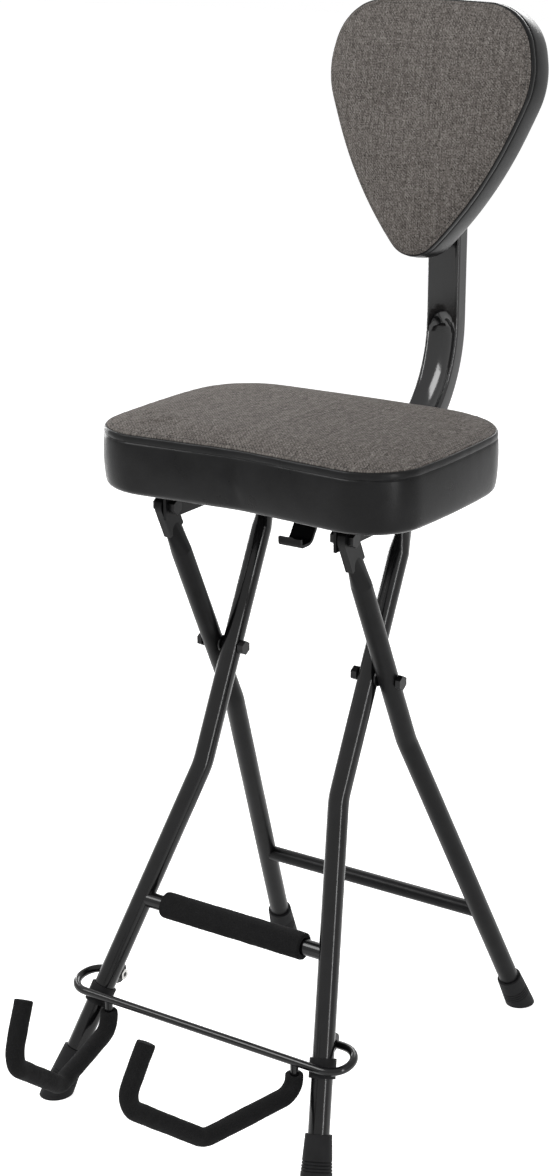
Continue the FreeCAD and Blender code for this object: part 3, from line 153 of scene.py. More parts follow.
class StoolUpholstery(bpy.types.PropertyGroup):
    """Cushion covers and their sewing."""

    back_recline: bpy.props.FloatProperty(
        name="Back recline", description="How far the back pad leans back",
        default=math.radians(9.5), subtype="ANGLE")
    seat_bow: bpy.props.FloatProperty(
        name="Seat bow", description="How far the seat's sides round outwards",
        default=2.5 * MILLIMETRE, unit="LENGTH")
    mesh_spacing: bpy.props.FloatProperty(
        name="Mesh spacing", description="Length of a cover's quads along its outline",
        default=6.0 * MILLIMETRE, unit="LENGTH")
    pressure: bpy.props.FloatProperty(
        name="Filling pressure", description="How hard the filling pushes the covers out", default=4.0)
    most_swell: bpy.props.FloatProperty(
        name="Most swell", description="Furthest that the filling may push a cover",
        default=2.5 * MILLIMETRE, unit="LENGTH")
    pucker: bpy.props.FloatProperty(
        name="Pucker", description="Height of the small gathers beside the seams",
        default=0.35 * MILLIMETRE, unit="LENGTH")
    stitch_pitch: bpy.props.FloatProperty(
        name="Stitch pitch", description="Distance from one stitch to the next",
        default=3.6 * MILLIMETRE, unit="LENGTH")
    stitch_length: bpy.props.FloatProperty(
        name="Stitch length", description="Length of thread that shows in a stitch",
        default=2.7 * MILLIMETRE, unit="LENGTH")
    thread_thickness: bpy.props.FloatProperty(
        name="Thread thickness", description="Diameter of the sewing thread",
        default=0.8 * MILLIMETRE, unit="LENGTH")
    staple_pitch: bpy.props.FloatProperty(
        name="Staple pitch", description="Distance between the staples of the under covers",
        default=38.0 * MILLIMETRE, unit="LENGTH")
    yarn_pitch: bpy.props.FloatProperty(
        name="Yarn pitch", description="Width of one yarn of the woven fabric",
        default=1.15 * MILLIMETRE, unit="LENGTH")
    fabric_dark: bpy.props.FloatVectorProperty(
        name="Dark yarn", description="Darkest yarn", subtype="COLOR", default=(0.028, 0.025, 0.023))
    fabric_middle: bpy.props.FloatVectorProperty(
        name="Middle yarn", description="Most common yarn", subtype="COLOR", default=(0.134, 0.12, 0.11))
    fabric_light: bpy.props.FloatVectorProperty(
        name="Light yarn", description="Palest yarn", subtype="COLOR", default=(0.30, 0.28, 0.262))
    vinyl: bpy.props.FloatVectorProperty(
        name="Vinyl", description="Colour of the side bands", subtype="COLOR",
        default=(0.0085, 0.0085, 0.0088))
    thread: bpy.props.FloatVectorProperty(
        name="Thread", description="Colour of the sewing thread", subtype="COLOR",
        default=(0.02, 0.019, 0.018))
    under_cloth: bpy.props.FloatVectorProperty(
        name="Under cloth", description="Colour of the felt under covers", subtype="COLOR",
        default=(0.013, 0.013, 0.013))


class StoolPost(bpy.types.PropertyGroup):
    """The back post's bend and the trough that bending leaves in its inner wall."""

    bend_radius: bpy.props.FloatProperty(
        name="Bend radius", description="Radius of the bend at the middle of the tube",
        default=129.0 * MILLIMETRE, unit="LENGTH")
    tube_depth: bpy.props.FloatProperty(
        name="Tube depth", description="Depth of the tube from front to back",
        default=20.0 * MILLIMETRE, unit="LENGTH")
    trough_depth: bpy.props.FloatProperty(
        name="Trough depth", description="How far the inner wall is drawn in",
        default=7.0 * MILLIMETRE, unit="LENGTH")
    trough_half: bpy.props.FloatProperty(
        name="Trough half width", description="Half of the trough's width",
        default=16.5 * MILLIMETRE, unit="LENGTH")
    trough_arch: bpy.props.FloatProperty(
        name="Trough arch", description="Height of the arched upper end",
        default=14.0 * MILLIMETRE, unit="LENGTH")


class StoolHardFinishes(bpy.types.PropertyGroup):
    """Paint, steel, rubber, foam, plastic and plywood."""

    paint: bpy.props.FloatVectorProperty(
        name="Paint", description="Colour of the painted steel", subtype="COLOR",
        default=(0.0042, 0.0042, 0.0045))
    gloss: bpy.props.FloatProperty(
        name="Gloss roughness", description="Roughness of the glossy paint", default=0.15, min=0.0, max=1.0)
    satin: bpy.props.FloatProperty(
        name="Satin roughness", description="Roughness of the satin paint", default=0.34, min=0.0, max=1.0)
    steel: bpy.props.FloatVectorProperty(
        name="Bright steel", description="Colour of the plated fasteners", subtype="COLOR",
        default=(0.62, 0.61, 0.59))
    rubber: bpy.props.FloatVectorProperty(
        name="Rubber", description="Colour of feet and collars", subtype="COLOR",
        default=(0.011, 0.011, 0.0115))
    foam: bpy.props.FloatVectorProperty(
        name="Foam", description="Colour of the foam sleeves", subtype="COLOR",
        default=(0.0095, 0.0095, 0.0098))
    plastic: bpy.props.FloatVectorProperty(
        name="Plastic", description="Colour of caps and rollers", subtype="COLOR",
        default=(0.008, 0.008, 0.0085))
    plywood: bpy.props.FloatVectorProperty(
        name="Plywood", description="Colour of the boards", subtype="COLOR", default=(0.44, 0.30, 0.17))


class Finish:
    """A material while it is wired, with short calls for the nodes that it needs."""

    def __init__(self, name):
        self.material = bpy.data.materials.new(name)
        self.material.use_nodes = True
        self.tree = self.material.node_tree
        self.shader = self.tree.nodes["Principled BSDF"]
        self.place = self.tree.nodes.new("ShaderNodeTexCoord").outputs["Object"]

    def node(self, kind, inputs=(), **settings):
        made = self.tree.nodes.new(kind)
        for setting, value in settings.items():
            setattr(made, setting, value)
        for socket, value in dict(inputs).items():
            self.feed(made.inputs[socket], value)
        return made

    def feed(self, socket, value):
        if isinstance(value, bpy.types.NodeSocket):
            self.tree.links.new(value, socket)
        else:
            socket.default_value = value

    def math(self, operation, *values):
        return self.node("ShaderNodeMath", enumerate(values), operation=operation).outputs[0]

    def stretched(self, scale, turn=(0.0, 0.0, 0.0)):
        """Object coordinates, turned and then stretched."""
        turned = self.node("ShaderNodeMapping", {"Vector": self.place, "Rotation": turn})
        return self.node("ShaderNodeMapping", {"Vector": turned.outputs[0], "Scale": scale}).outputs[0]

    def noise(self, scale, detail=2.0, place=None):
        inputs = {"Vector": place or self.place, "Scale": scale, "Detail": detail}
        return self.node("ShaderNodeTexNoise", inputs).outputs[0]

    def cells(self, scale):
        inputs = {"Vector": self.place, "Scale": scale}
        return self.node("ShaderNodeTexVoronoi", inputs).outputs["Distance"]

    def ramp(self, factor, stops):
        made = self.node("ShaderNodeValToRGB", {"Fac": factor})
        band = made.color_ramp
        while len(band.elements) < len(stops):
            band.elements.new(0.5)
        for element, (position, colour) in zip(band.elements, stops):
            element.position = position
            element.color = (*colour, 1.0)
        return made.outputs["Color"]

    def spread(self, factor, low, high):
        """Map a noise's usual span to a new one."""
        inputs = {"Value": factor, "To Min": low, "To Max": high}
        inputs.update({"From Min": NOISE_LOW, "From Max": NOISE_HIGH})
        return self.node("ShaderNodeMapRange", inputs).outputs[0]

    def bump(self, height, depth, strength=1.0, under=None):
        inputs = {"Height": height, "Distance": depth, "Strength": strength}
        if under is not None:
            inputs["Normal"] = under
        return self.node("ShaderNodeBump", inputs).outputs["Normal"]

    def wire(self, **sockets):
        for socket, value in sockets.items():
            title = socket.replace("_", " ").title().replace("Ior", "IOR")
            self.feed(self.shader.inputs[title], value)
        return self.material


def shaded(colour, share):
    """A colour made darker or lighter."""
    return tuple(channel * share for channel in colour)


def painted_steel(name, colour, roughness, ior):
    """Sprayed enamel: slight orange peel, uneven gloss and a little dust."""
    finish = Finish(name)
    broad = finish.noise(14.0, 4.0)
    peel = finish.noise(520.0, 1.0)
    haze = finish.noise(60.0, 6.0)
    colours = finish.ramp(haze, [(0.3, shaded(colour, 0.75)), (0.72, shaded(colour, 1.5))])
    gloss = finish.spread(broad, roughness * 0.8, roughness * 1.25)
    return finish.wire(base_color=colours, roughness=gloss,
                       normal=finish.bump(peel, 0.00012, 0.25), ior=ior)


def plated_steel(name, colour):
    """Zinc plate with fine turned marks and dull patches."""
    finish = Finish(name)
    patches = finish.noise(180.0, 4.0)
    marks = finish.noise(1.0, 2.0, finish.stretched((300.0, 2600.0, 2600.0)))
    colours = finish.ramp(patches, [(0.3, shaded(colour, 0.72)), (0.7, colour)])
    roughness = finish.spread(patches, 0.24, 0.42)
    return finish.wire(base_color=colours, metallic=1.0, roughness=roughness,
                       normal=finish.bump(marks, 0.00005, 0.4))


def moulded_rubber(name, colour):
    """Dull rubber with a dusty bloom and a fine moulded skin."""
    finish = Finish(name)
    bloom = finish.noise(45.0, 5.0)
    skin = finish.noise(1400.0, 2.0)
    colours = finish.ramp(bloom, [(0.32, shaded(colour, 0.75)), (0.75, shaded(colour, 1.9))])
    return finish.wire(base_color=colours, roughness=finish.spread(bloom, 0.55, 0.78),
                       normal=finish.bump(skin, 0.00015, 0.5), ior=1.2)


def closed_cell_foam(name, colour):
    """Matte foam tube: pores with painted shade in them, soft dents and a faint fuzz."""
    finish = Finish(name)
    pores = finish.cells(1300.0)
    dents = finish.noise(90.0, 3.0)
    # Painted shade: the colour is darkest at the pores, where the bump sinks, as shade inside the cells.
    colours = finish.ramp(pores, [(0.15, shaded(colour, 0.6)), (0.7, shaded(colour, 1.5))])
    soft = finish.bump(dents, 0.0008, 0.4)
    return finish.wire(base_color=colours, roughness=finish.spread(dents, 0.82, 0.95),
                       normal=finish.bump(pores, 0.0003, 0.5, soft), ior=1.16)


def moulded_plastic(name, colour):
    """Finely textured plastic, rubbed smoother in places."""
    finish = Finish(name)
    texture = finish.cells(900.0)
    rubbed = finish.noise(70.0, 3.0)
    colours = finish.ramp(rubbed, [(0.3, shaded(colour, 0.8)), (0.7, shaded(colour, 1.5))])
    return finish.wire(base_color=colours, roughness=finish.spread(rubbed, 0.42, 0.58),
                       normal=finish.bump(texture, 0.0001, 0.4), ior=1.26)


def plywood(name, colour):
    """Pale veneer with long grain."""
    finish = Finish(name)
    grain = finish.noise(1.0, 6.0, finish.stretched((14.0, 160.0, 160.0)))
    colours = finish.ramp(grain, [(0.3, shaded(colour, 0.6)), (0.5, colour), (0.75, shaded(colour, 1.3))])
    return finish.wire(base_color=colours, roughness=finish.spread(grain, 0.6, 0.8),
                       normal=finish.bump(grain, 0.0003, 0.4))


def heather_fabric(name, cloth, turn):
    """Twill of mixed grey yarns. Each yarn, and each place where it comes up, has its own shade, with
    painted shade and highlight on the weave's relief.
    """
    finish = Finish(name)
    flat = finish.stretched((1.0, 1.0, 1.0), turn)
    across, along, _ = finish.node("ShaderNodeSeparateXYZ", {"Vector": flat}).outputs
    sway = finish.noise(55.0, 2.0, flat)
    wander = finish.math("MULTIPLY", sway, 0.7)
    warp = finish.math("ADD", finish.math("DIVIDE", across, cloth.yarn_pitch), wander)
    weft = finish.math("ADD", finish.math("DIVIDE", along, cloth.yarn_pitch), wander)
    warp_count = finish.math("FLOOR", warp)
    weft_count = finish.math("FLOOR", weft)
    step = finish.math("FLOORED_MODULO", finish.math("ADD", warp_count, weft_count), 3.0)
    warp_up = finish.math("LESS_THAN", step, 1.5)
    weft_up = finish.math("SUBTRACT", 1.0, warp_up)

    def on_top(warp_value, weft_value):
        """Whichever yarn shows at each crossing."""
        return finish.math("ADD", finish.math("MULTIPLY", warp_up, warp_value),
                           finish.math("MULTIPLY", weft_up, weft_value))

    def rounded(count):
        return finish.math("SINE", finish.math("MULTIPLY", finish.math("FRACT", count), math.pi))

    def own_shade(count, offset):
        numbered = finish.math("ADD", count, offset)
        shades = finish.node("ShaderNodeTexWhiteNoise", {"W": numbered}, noise_dimensions="1D")
        return shades.outputs["Value"]

    crossing = finish.node("ShaderNodeCombineXYZ", {"X": warp_count, "Y": weft_count}).outputs[0]
    flecks = finish.node("ShaderNodeTexWhiteNoise", {"Vector": crossing}, noise_dimensions="2D")
    fleck = flecks.outputs["Value"]
    yarn = on_top(own_shade(warp_count, 0.37), own_shade(weft_count, 91.7))
    streaks = finish.noise(1.0, 3.0, finish.stretched((900.0, 95.0, 95.0), turn))
    slubs = finish.noise(1.0, 3.0, finish.stretched((110.0, 900.0, 110.0), turn))
    height = on_top(rounded(warp), rounded(weft))
    # Painted shade and highlight: each yarn's rounded crown (height) is lighter and its edges darker, and
    # the twill lines where the warp lies on top (warp_up) are lighter, as light falls on the weave. Yarn,
    # streaks, slubs and fleck are the yarns' own random tone.
    shade = finish.math("MULTIPLY", fleck, 0.24)
    for part, share in ((yarn, 0.08), (streaks, 0.44), (slubs, 0.3), (height, 0.08), (warp_up, 0.08)):
        shade = finish.math("MULTIPLY_ADD", part, share, shade)
    colours = finish.ramp(shade, [(0.38, cloth.fabric_dark), (0.65, cloth.fabric_middle),
                                  (0.92, cloth.fabric_light)])
    return finish.wire(base_color=colours, roughness=finish.spread(fleck, 0.82, 0.95),
                       normal=finish.bump(height, 0.0004, 0.7), ior=1.2)


def grained_vinyl(name, colour):
    """Soft black vinyl: fine pebble grain over slow waves."""
    finish = Finish(name)
    pebbles = finish.cells(850.0)
    waves = finish.noise(24.0, 2.0)
    rub = finish.noise(38.0, 5.0)
    colours = finish.ramp(rub, [(0.3, shaded(colour, 0.8)), (0.72, shaded(colour, 1.35))])
    soft = finish.bump(waves, 0.0012, 0.25)
    return finish.wire(base_color=colours, roughness=finish.spread(rub, 0.27, 0.36),
                       normal=finish.bump(pebbles, 0.00018, 0.3, soft), ior=1.22)


def sewing_thread(name, colour):
    """Twisted thread."""
    finish = Finish(name)
    twist = finish.noise(1.0, 2.0, finish.stretched((1800.0, 1800.0, 3600.0), (0.4, 0.7, 0.5)))
    colours = finish.ramp(twist, [(0.3, shaded(colour, 0.6)), (0.7, shaded(colour, 1.7))])
    return finish.wire(base_color=colours, roughness=finish.spread(twist, 0.55, 0.75),
                       normal=finish.bump(twist, 0.0002, 0.6))


def felt(name, colour):
    """Thin black felt: matted fibres, no weave."""
    finish = Finish(name)
    fibres = finish.noise(900.0, 6.0)
    mats = finish.noise(120.0, 4.0)
    colours = finish.ramp(fibres, [(0.3, shaded(colour, 0.5)), (0.75, shaded(colour, 2.0))])
    return finish.wire(base_color=colours, roughness=finish.spread(mats, 0.88, 0.98),
                       normal=finish.bump(fibres, 0.0003, 0.7), specular_ior_level=0.2)


def dress_node(slot_name, material):
    """Give every CAD node of one record slot its finish."""
    for row in frame["record"]["subparts"]:
        if row["material_slot"] == slot_name:
            mesh = nodes[row["node"]].data
            mesh.materials.clear()
            mesh.materials.append(material)


def new_piece(name, bm, material, body):
    """Object at the origin from a finished bmesh, riding on a body."""
    mesh = bpy.data.meshes.new(name)
    bm.to_mesh(mesh)
    bm.free()
    mesh.materials.append(material)
    mesh.shade_smooth()
    piece = bpy.data.objects.new(name, mesh)
    bpy.context.scene.collection.objects.link(piece)
    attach(piece, body)
    return piece


def lying_on(axis):
    """Frame whose Z is the axis and whose X runs across the stool."""
    up = Vector(axis).normalized()
    across = Vector((1.0, 0.0, 0.0))
    along = up.cross(across)
    return Matrix((across, along, up)).transposed().to_4x4()


def leaning_back(recline):
    """Frame of the back pad."""
    return lying_on((0.0, -math.cos(recline), math.sin(recline)))


def relax(bm, passes):
    """Even out a mesh or a wire."""
    for _ in range(passes):
        bmesh.ops.smooth_vert(bm, verts=bm.verts, factor=0.5,
                              use_axis_x=True, use_axis_y=True, use_axis_z=True)


def copy_of(node):
    """A CAD node's mesh, with its doubled vertices joined."""
    bm = bmesh.new()
    bm.from_mesh(nodes[node].data)
    bmesh.ops.remove_doubles(bm, verts=bm.verts, dist=MERGE_DISTANCE)
    return bm


def heights_of(node, lie):
    """Lowest and highest place of a node along a frame's Z."""
    up = lie.to_3x3().col[2]
    heights = [up.dot(vertex.co) for vertex in nodes[node].data.vertices]
    return min(heights), max(heights)


def in_order(loop):
    """A closed wire's vertices in the order that its edges join them."""
    members = set(loop)
    ordered = [loop[0]]
    seen = {loop[0]}
    while True:
        steps = [edge.other_vert(ordered[-1]) for edge in ordered[-1].link_edges]
        fresh = [vert for vert in steps if vert in members and vert not in seen]
        if not fresh:
            return ordered
        ordered.append(fresh[0])
        seen.add(fresh[0])


def outline_of(node, lie, level, spacing):
    """Outer edge of a node's section, as a wire in the frame's own coordinates, evenly divided."""
    bm = copy_of(node)
    bmesh.ops.transform(bm, matrix=lie.inverted(), verts=bm.verts)
    everything = bm.verts[:] + bm.edges[:] + bm.faces[:]
    bmesh.ops.bisect_plane(bm, geom=everything, dist=1e-7, plane_co=(0.0, 0.0, level),
                           plane_no=UP, clear_inner=True, clear_outer=True)
    waiting = set(bm.verts)
    loops = []
    while waiting:
        group = [waiting.pop()]
        for vert in group:
            for edge in vert.link_edges:
                other = edge.other_vert(vert)
                if other in waiting:
                    waiting.remove(other)
                    group.append(other)
        loops.append(group)
    widest = max(loops, key=lambda group: max(vert.co.x for vert in group))
    extra = [vert for group in loops if group is not widest for vert in group]
    bmesh.ops.delete(bm, geom=extra, context="VERTS")
    bmesh.ops.remove_doubles(bm, verts=bm.verts, dist=spacing * 0.1)
    for edge in bm.edges[:]:
        cuts = round(edge.calc_length() / spacing) - 1
        if cuts > 0:
            bmesh.ops.subdivide_edges(bm, edges=[edge], cuts=cuts)
    relax(bm, OUTLINE_PASSES)
    return bm


class Skin:
    """A cover grown ring by ring from an outline, in its own flat frame."""

    def __init__(self, node, lie, level, spacing):
        self.lie = lie
        self.bm = outline_of(node, lie, level, spacing)
        self.edges = self.bm.edges[:]
        self.verts = self.bm.verts[:]
        low = Vector([min(vert.co[axis] for vert in self.verts) for axis in range(3)])
        high = Vector([max(vert.co[axis] for vert in self.verts) for axis in range(3)])
        self.centre = (low + high) / 2
        self.half = (high - low) / 2
        bmesh.ops.translate(self.bm, vec=-self.centre, verts=self.verts)
        self.height = 0.0
        self.scale = Vector((1.0, 1.0))
        self.rings = []

    def bow_sides(self, bow):
        """Round the straight sides outwards a little, as a full cushion pushes them."""
        for vert in self.verts:
            across = vert.co.x / self.half.x
            along = vert.co.y / self.half.y
            vert.co.x += bow * across ** 3 * (1.0 - along ** 2)

    def ring(self, height, inset, share=1.0):
        """Next ring: its height, how far in from the outline, and its share of that width."""
        if self.rings:
            grown = bmesh.ops.extrude_edge_only(self.bm, edges=self.edges)["geom"]
            self.verts = [item for item in grown if isinstance(item, bmesh.types.BMVert)]
            fresh = set(self.verts)
            self.edges = [edge for edge in self.bm.edges if set(edge.verts) <= fresh]
        wanted = Vector([share * (half - inset) / half for half in self.half.xy])
        change = (wanted.x / self.scale.x, wanted.y / self.scale.y, 1.0)
        bmesh.ops.scale(self.bm, vec=change, verts=self.verts)
        bmesh.ops.translate(self.bm, vec=(0.0, 0.0, height - self.height), verts=self.verts)
        self.height = height
        self.scale = wanted
        self.rings.append(self.verts)

    def close(self, height):
        """Draw the last ring together at its middle."""
        self.ring(height, 0.0, 0.02)
        bmesh.ops.pointmerge(self.bm, verts=self.verts, merge_co=(0.0, 0.0, height))
        self.rings.pop()

    def finish(self, base, core):
        """Point the faces away from a core at this height and stand the skin on its place.

        Gives each ring's vertex numbers.
        """
        bm = self.bm
        bmesh.ops.recalc_face_normals(bm, faces=bm.faces)
        middle = Vector((0.0, 0.0, core))
        outward = 0.0
        for face in bm.faces:
            outward += face.calc_area() * face.normal.dot(face.calc_center_median() - middle)
        if outward < 0.0:
            bmesh.ops.reverse_faces(bm, faces=bm.faces)
        place = self.lie @ Matrix.Translation((self.centre.x, self.centre.y, base))
        bmesh.ops.transform(bm, matrix=place, verts=bm.verts)
        bm.verts.index_update()
        return [[vert.index for vert in in_order(ring)] for ring in self.rings]


def fill_out(piece, pinned, pressure, most):
    """Let the filling swell a cover by cloth simulation, held at its sewn rings."""
    mesh = piece.data
    before = [vertex.co.copy() for vertex in mesh.vertices]
    group = piece.vertex_groups.new(name="sewn")
    group.add(pinned, 1.0, "REPLACE")
    cloth = piece.modifiers.new("Cloth", "CLOTH")
    for setting, value in CLOTH_SETTINGS.items():
        setattr(cloth.settings, setting, value)
    cloth.settings.uniform_pressure_force = pressure
    cloth.settings.vertex_group_mass = group.name
    cloth.settings.effector_weights.gravity = 0.0
    cloth.point_cache.frame_start = 1
    cloth.point_cache.frame_end = CLOTH_FRAMES
    scene = bpy.context.scene
    for step in range(1, CLOTH_FRAMES + 1):
        scene.frame_set(step)
    swollen = piece.evaluated_get(bpy.context.evaluated_depsgraph_get()).to_mesh()
    after = [vertex.co.copy() for vertex in swollen.vertices]
    piece.modifiers.remove(cloth)
    piece.vertex_groups.remove(group)
    for vertex, start, end in zip(mesh.vertices, before, after):
        move = end - start
        if move.length > most:
            move *= most / move.length
        vertex.co = start + move
    scene.frame_set(1)


def gather(piece, rings, depth):
    """Small uneven puckers across the given rings, along the cover's own normals."""
    mesh = piece.data
    normals = [vertex.normal.copy() for vertex in mesh.vertices]
    for ring in rings:
        for number in ring:
            vertex = mesh.vertices[number]
            lift = noise.noise(vertex.co * 95.0) + 0.5 * noise.noise(vertex.co * 210.0)
            vertex.co += normals[number] * (lift * depth)


def smooth_more(piece):
    """Round a cover's quads."""
    subdivision = piece.modifiers.new("Subdivision", "SUBSURF")
    subdivision.levels = 1
    subdivision.render_levels = 1


def sewn_line(name, piece, ring, pitch, length, thickness, material, lift=0.0):
    """A row of stitches, or staples, along one ring of a cover."""
    mesh = piece.data
    path = [(mesh.vertices[number].co.copy(), mesh.vertices[number].normal.copy()) for number in ring]
    path.append(path[0])
    spans = [(end[0] - start[0]).length for start, end in zip(path, path[1:])]
    count = max(1, round(sum(spans) / pitch))
    step = sum(spans) / count
    bm = bmesh.new()
    walked = 0.0
    due = step / 2
    for (start, normal), (end, _), span in zip(path, path[1:], spans):
        while due <= walked + span:
            spot = start.lerp(end, (due - walked) / span) + normal * lift
            forward = (end - start).normalized()
            side = normal.cross(forward).normalized()
            turn = Matrix((forward, side, forward.cross(side))).transposed().to_4x4()
            shape = Matrix.Diagonal((length / thickness, 1.0, 0.8, 1.0))
            bmesh.ops.create_uvsphere(bm, u_segments=6, v_segments=5, radius=thickness / 2,
                                      matrix=Matrix.Translation(spot) @ turn @ shape)
            due += step
        walked += span
    return new_piece(name, bm, material, "seat")


def crown_height(distance, roll, dome, reach):
    """Rise of a facing panel at a distance in from its seam: a quick roll-over, then a slow dome."""
    edge = min(1.0, distance / (2.1 * roll))
    return roll * (1.0 - (1.0 - edge) ** 2.2) + dome * math.sin(min(1.0, distance / reach) * math.pi / 2)


def cushion(name, lie, roll, dome, tuck, bow, cloth, fabric, vinyl, thread):
    """Side band and facing panel of one cushion, sewn together along a sunken seam."""
    foam, panel_node, band_node = name + "_foam", name + "_front_panel", name + "_side_band"
    if name == "seat":
        panel_node = "seat_top_panel"
    base, seam = heights_of(band_node, lie)
    depth = seam - base
    level = (base + seam) / 2

    band = Skin(foam, lie, level, cloth.mesh_spacing)
    band.bow_sides(bow)
    drawn_in = tuck / USUAL_TUCK
    for height, inset in BAND_TUCK:
        band.ring(height * MILLIMETRE, inset * MILLIMETRE * drawn_in)
    top = depth - BAND_EDGE_DROP
    for step, inset in enumerate(BAND_SIDE, start=1):
        band.ring(BAND_FOOT + (top - BAND_FOOT) * step / len(BAND_SIDE), inset * MILLIMETRE)
    crease = len(band.rings) + 1
    for drop, inset in BAND_EDGE:
        band.ring(depth - drop * MILLIMETRE, inset * MILLIMETRE)
    band_rings = band.finish(base, depth / 2)
    band_piece = new_piece(name + "_band_cover", band.bm, vinyl, "seat")
    held = band_rings[:3] + [band_rings[crease]] + band_rings[-4:]
    fill_out(band_piece, [number for ring in held for number in ring], cloth.pressure, cloth.most_swell)
    gather(band_piece, band_rings[crease - 2:crease + 4], cloth.pucker)
    smooth_more(band_piece)
    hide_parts(band_node)

    panel = Skin(foam, lie, level, cloth.mesh_spacing)
    panel.bow_sides(bow)
    for rise, inset in PANEL_EDGE:
        panel.ring(depth + rise * MILLIMETRE, inset * MILLIMETRE)
    start, edge = [size * MILLIMETRE for size in PANEL_EDGE[-1]]
    reach = (panel.half.x + panel.half.y) / 2
    for share in PANEL_SHARES:
        rise = start + crown_height((1.0 - share) * reach, roll, dome, reach)
        panel.ring(depth + rise, edge, share)
    panel.close(depth + start + roll + dome)
    panel_rings = panel.finish(base, depth / 2)
    panel_piece = new_piece(name + "_facing_cover", panel.bm, fabric, "seat")
    held = panel_rings[:4]
    fill_out(panel_piece, [number for ring in held for number in ring], cloth.pressure, cloth.most_swell)
    gather(panel_piece, panel_rings[4:8], cloth.pucker)
    smooth_more(panel_piece)
    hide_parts(panel_node, foam)
    sewn_line(name + "_stitching", panel_piece, panel_rings[5], cloth.stitch_pitch, cloth.stitch_length,
              cloth.thread_thickness, thread)


def under_cover(name, node, lie, cloth, material):
    """Felt fixed under a board, its edge turned up; gives it and the ring that its fixings follow."""
    low, high = heights_of(node, lie)
    skin = Skin(node, lie, (low + high) / 2, cloth.mesh_spacing * 1.5)
    thickness = high - low
    skin.ring(thickness, 0.8 * MILLIMETRE)
    skin.ring(thickness * 0.4, 0.15 * MILLIMETRE)
    for inset in FELT_INSETS:
        skin.ring(0.0, inset)
    for share in FELT_SHARES:
        skin.ring(0.0, FELT_INSETS[-1], share)
    skin.close(0.0)
    half = skin.half
    rings = skin.finish(low, half.x)
    flat_area = sum(face.calc_area() for face in skin.bm.faces)
    piece = new_piece(name, skin.bm, material, "seat")
    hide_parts(node)
    return piece, rings[4]


def soft_sleeve(node, name, body, material):
    """Foam tube taken from its plain solid, with rounded ends and shallow dents."""
    piece = new_piece(name, copy_of(node), material, body)
    remesh = piece.modifiers.new("Remesh", "REMESH")
    remesh.mode = "VOXEL"
    remesh.voxel_size = SLEEVE_VOXEL
    fine = bpy.data.meshes.new_from_object(piece.evaluated_get(bpy.context.evaluated_depsgraph_get()))
    piece.modifiers.remove(remesh)
    bm = bmesh.new()
    bm.from_mesh(fine)
    relax(bm, SLEEVE_PASSES)
    bm.normal_update()
    for vert in bm.verts:
        dent = noise.noise(vert.co * 70.0) * 0.35 + noise.noise(vert.co * 260.0) * 0.12
        vert.co += vert.normal * (dent * MILLIMETRE)
    bm.to_mesh(piece.data)
    bm.free()
    piece.data.shade_smooth()
    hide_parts(node)


def eased(share):
    """Smooth step from 0 to 1."""
    share = min(1.0, max(0.0, share))
    return share * share * (3.0 - 2.0 * share)


def buckled_post(shape, material):
    """Back post whose inner wall is drawn in along the bend, as a tube buckles when it is bent."""
    bm = copy_of("back_post")
    radius = shape.bend_radius
    reach = radius + shape.tube_depth / 2
    axis_y = max(vert.co.y for vert in bm.verts) - reach
    axis_z = min(vert.co.z for vert in bm.verts) + reach
    planes = [((0.0, axis_y, axis_z), (0.0, math.cos(turn), math.sin(turn))) for turn in POST_TURNS]
    planes += [((place, 0.0, 0.0), (1.0, 0.0, 0.0)) for place in POST_SLICES]
    for spot, normal in planes:
        everything = bm.verts[:] + bm.edges[:] + bm.faces[:]
        bmesh.ops.bisect_plane(bm, geom=everything, dist=MERGE_DISTANCE, plane_co=spot, plane_no=normal)
    quarter = radius * math.pi / 2
    for vert in bm.verts:
        back, up = vert.co.y - axis_y, vert.co.z - axis_z
        distance = back if up > 0.0 else math.hypot(back, up)
        run = quarter + up if up > 0.0 else radius * math.atan2(back, -up)
        across = abs(vert.co.x) / shape.trough_half
        if across >= 1.0 or distance > radius - shape.tube_depth / 4 or back < 0.0:
            continue
        end = quarter + shape.trough_arch * (0.7 - across ** 2)
        drawn = eased((end - run) / shape.trough_arch) * eased(run / (2 * shape.trough_arch))
        outward = Vector((0.0, 1.0, 0.0)) if up > 0.0 else Vector((0.0, back, up)) / distance
        vert.co += outward * (shape.trough_depth * drawn * (1.0 - across ** 2) ** 0.7)
    bm.normal_update()
    piece = new_piece("buckled_back_post", bm, material, "seat")
    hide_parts("back_post")
    piece.data.set_sharp_from_angle(angle=SHARP_ANGLE)


def aim(thing, target):
    """Turn a lamp or a camera to a point."""
    thing.rotation_euler = (Vector(target) - thing.location).to_track_quat("-Z", "Y").to_euler()


def softbox(name, place, target, size, power):
    """Hang a rectangular lamp."""
    lamp = bpy.data.lights.new(name, "AREA")
    lamp.shape = "RECTANGLE"
    lamp.size, lamp.size_y = size
    lamp.energy = power
    thing = bpy.data.objects.new(name, lamp)
    thing.location = place
    bpy.context.scene.collection.objects.link(thing)
    aim(thing, target)


def seen_directly(tree):
    """One for rays that show the surroundings themselves, straight or in a reflection."""
    path = tree.nodes.new("ShaderNodeLightPath")
    seen = path.outputs["Is Camera Ray"]
    for kind in ("Is Glossy Ray", "Is Transmission Ray"):
        either = tree.nodes.new("ShaderNodeMath")
        either.operation = "MAXIMUM"
        tree.links.new(seen, either.inputs[0])
        tree.links.new(path.outputs[kind], either.inputs[1])
        seen = either.outputs[0]
    return seen


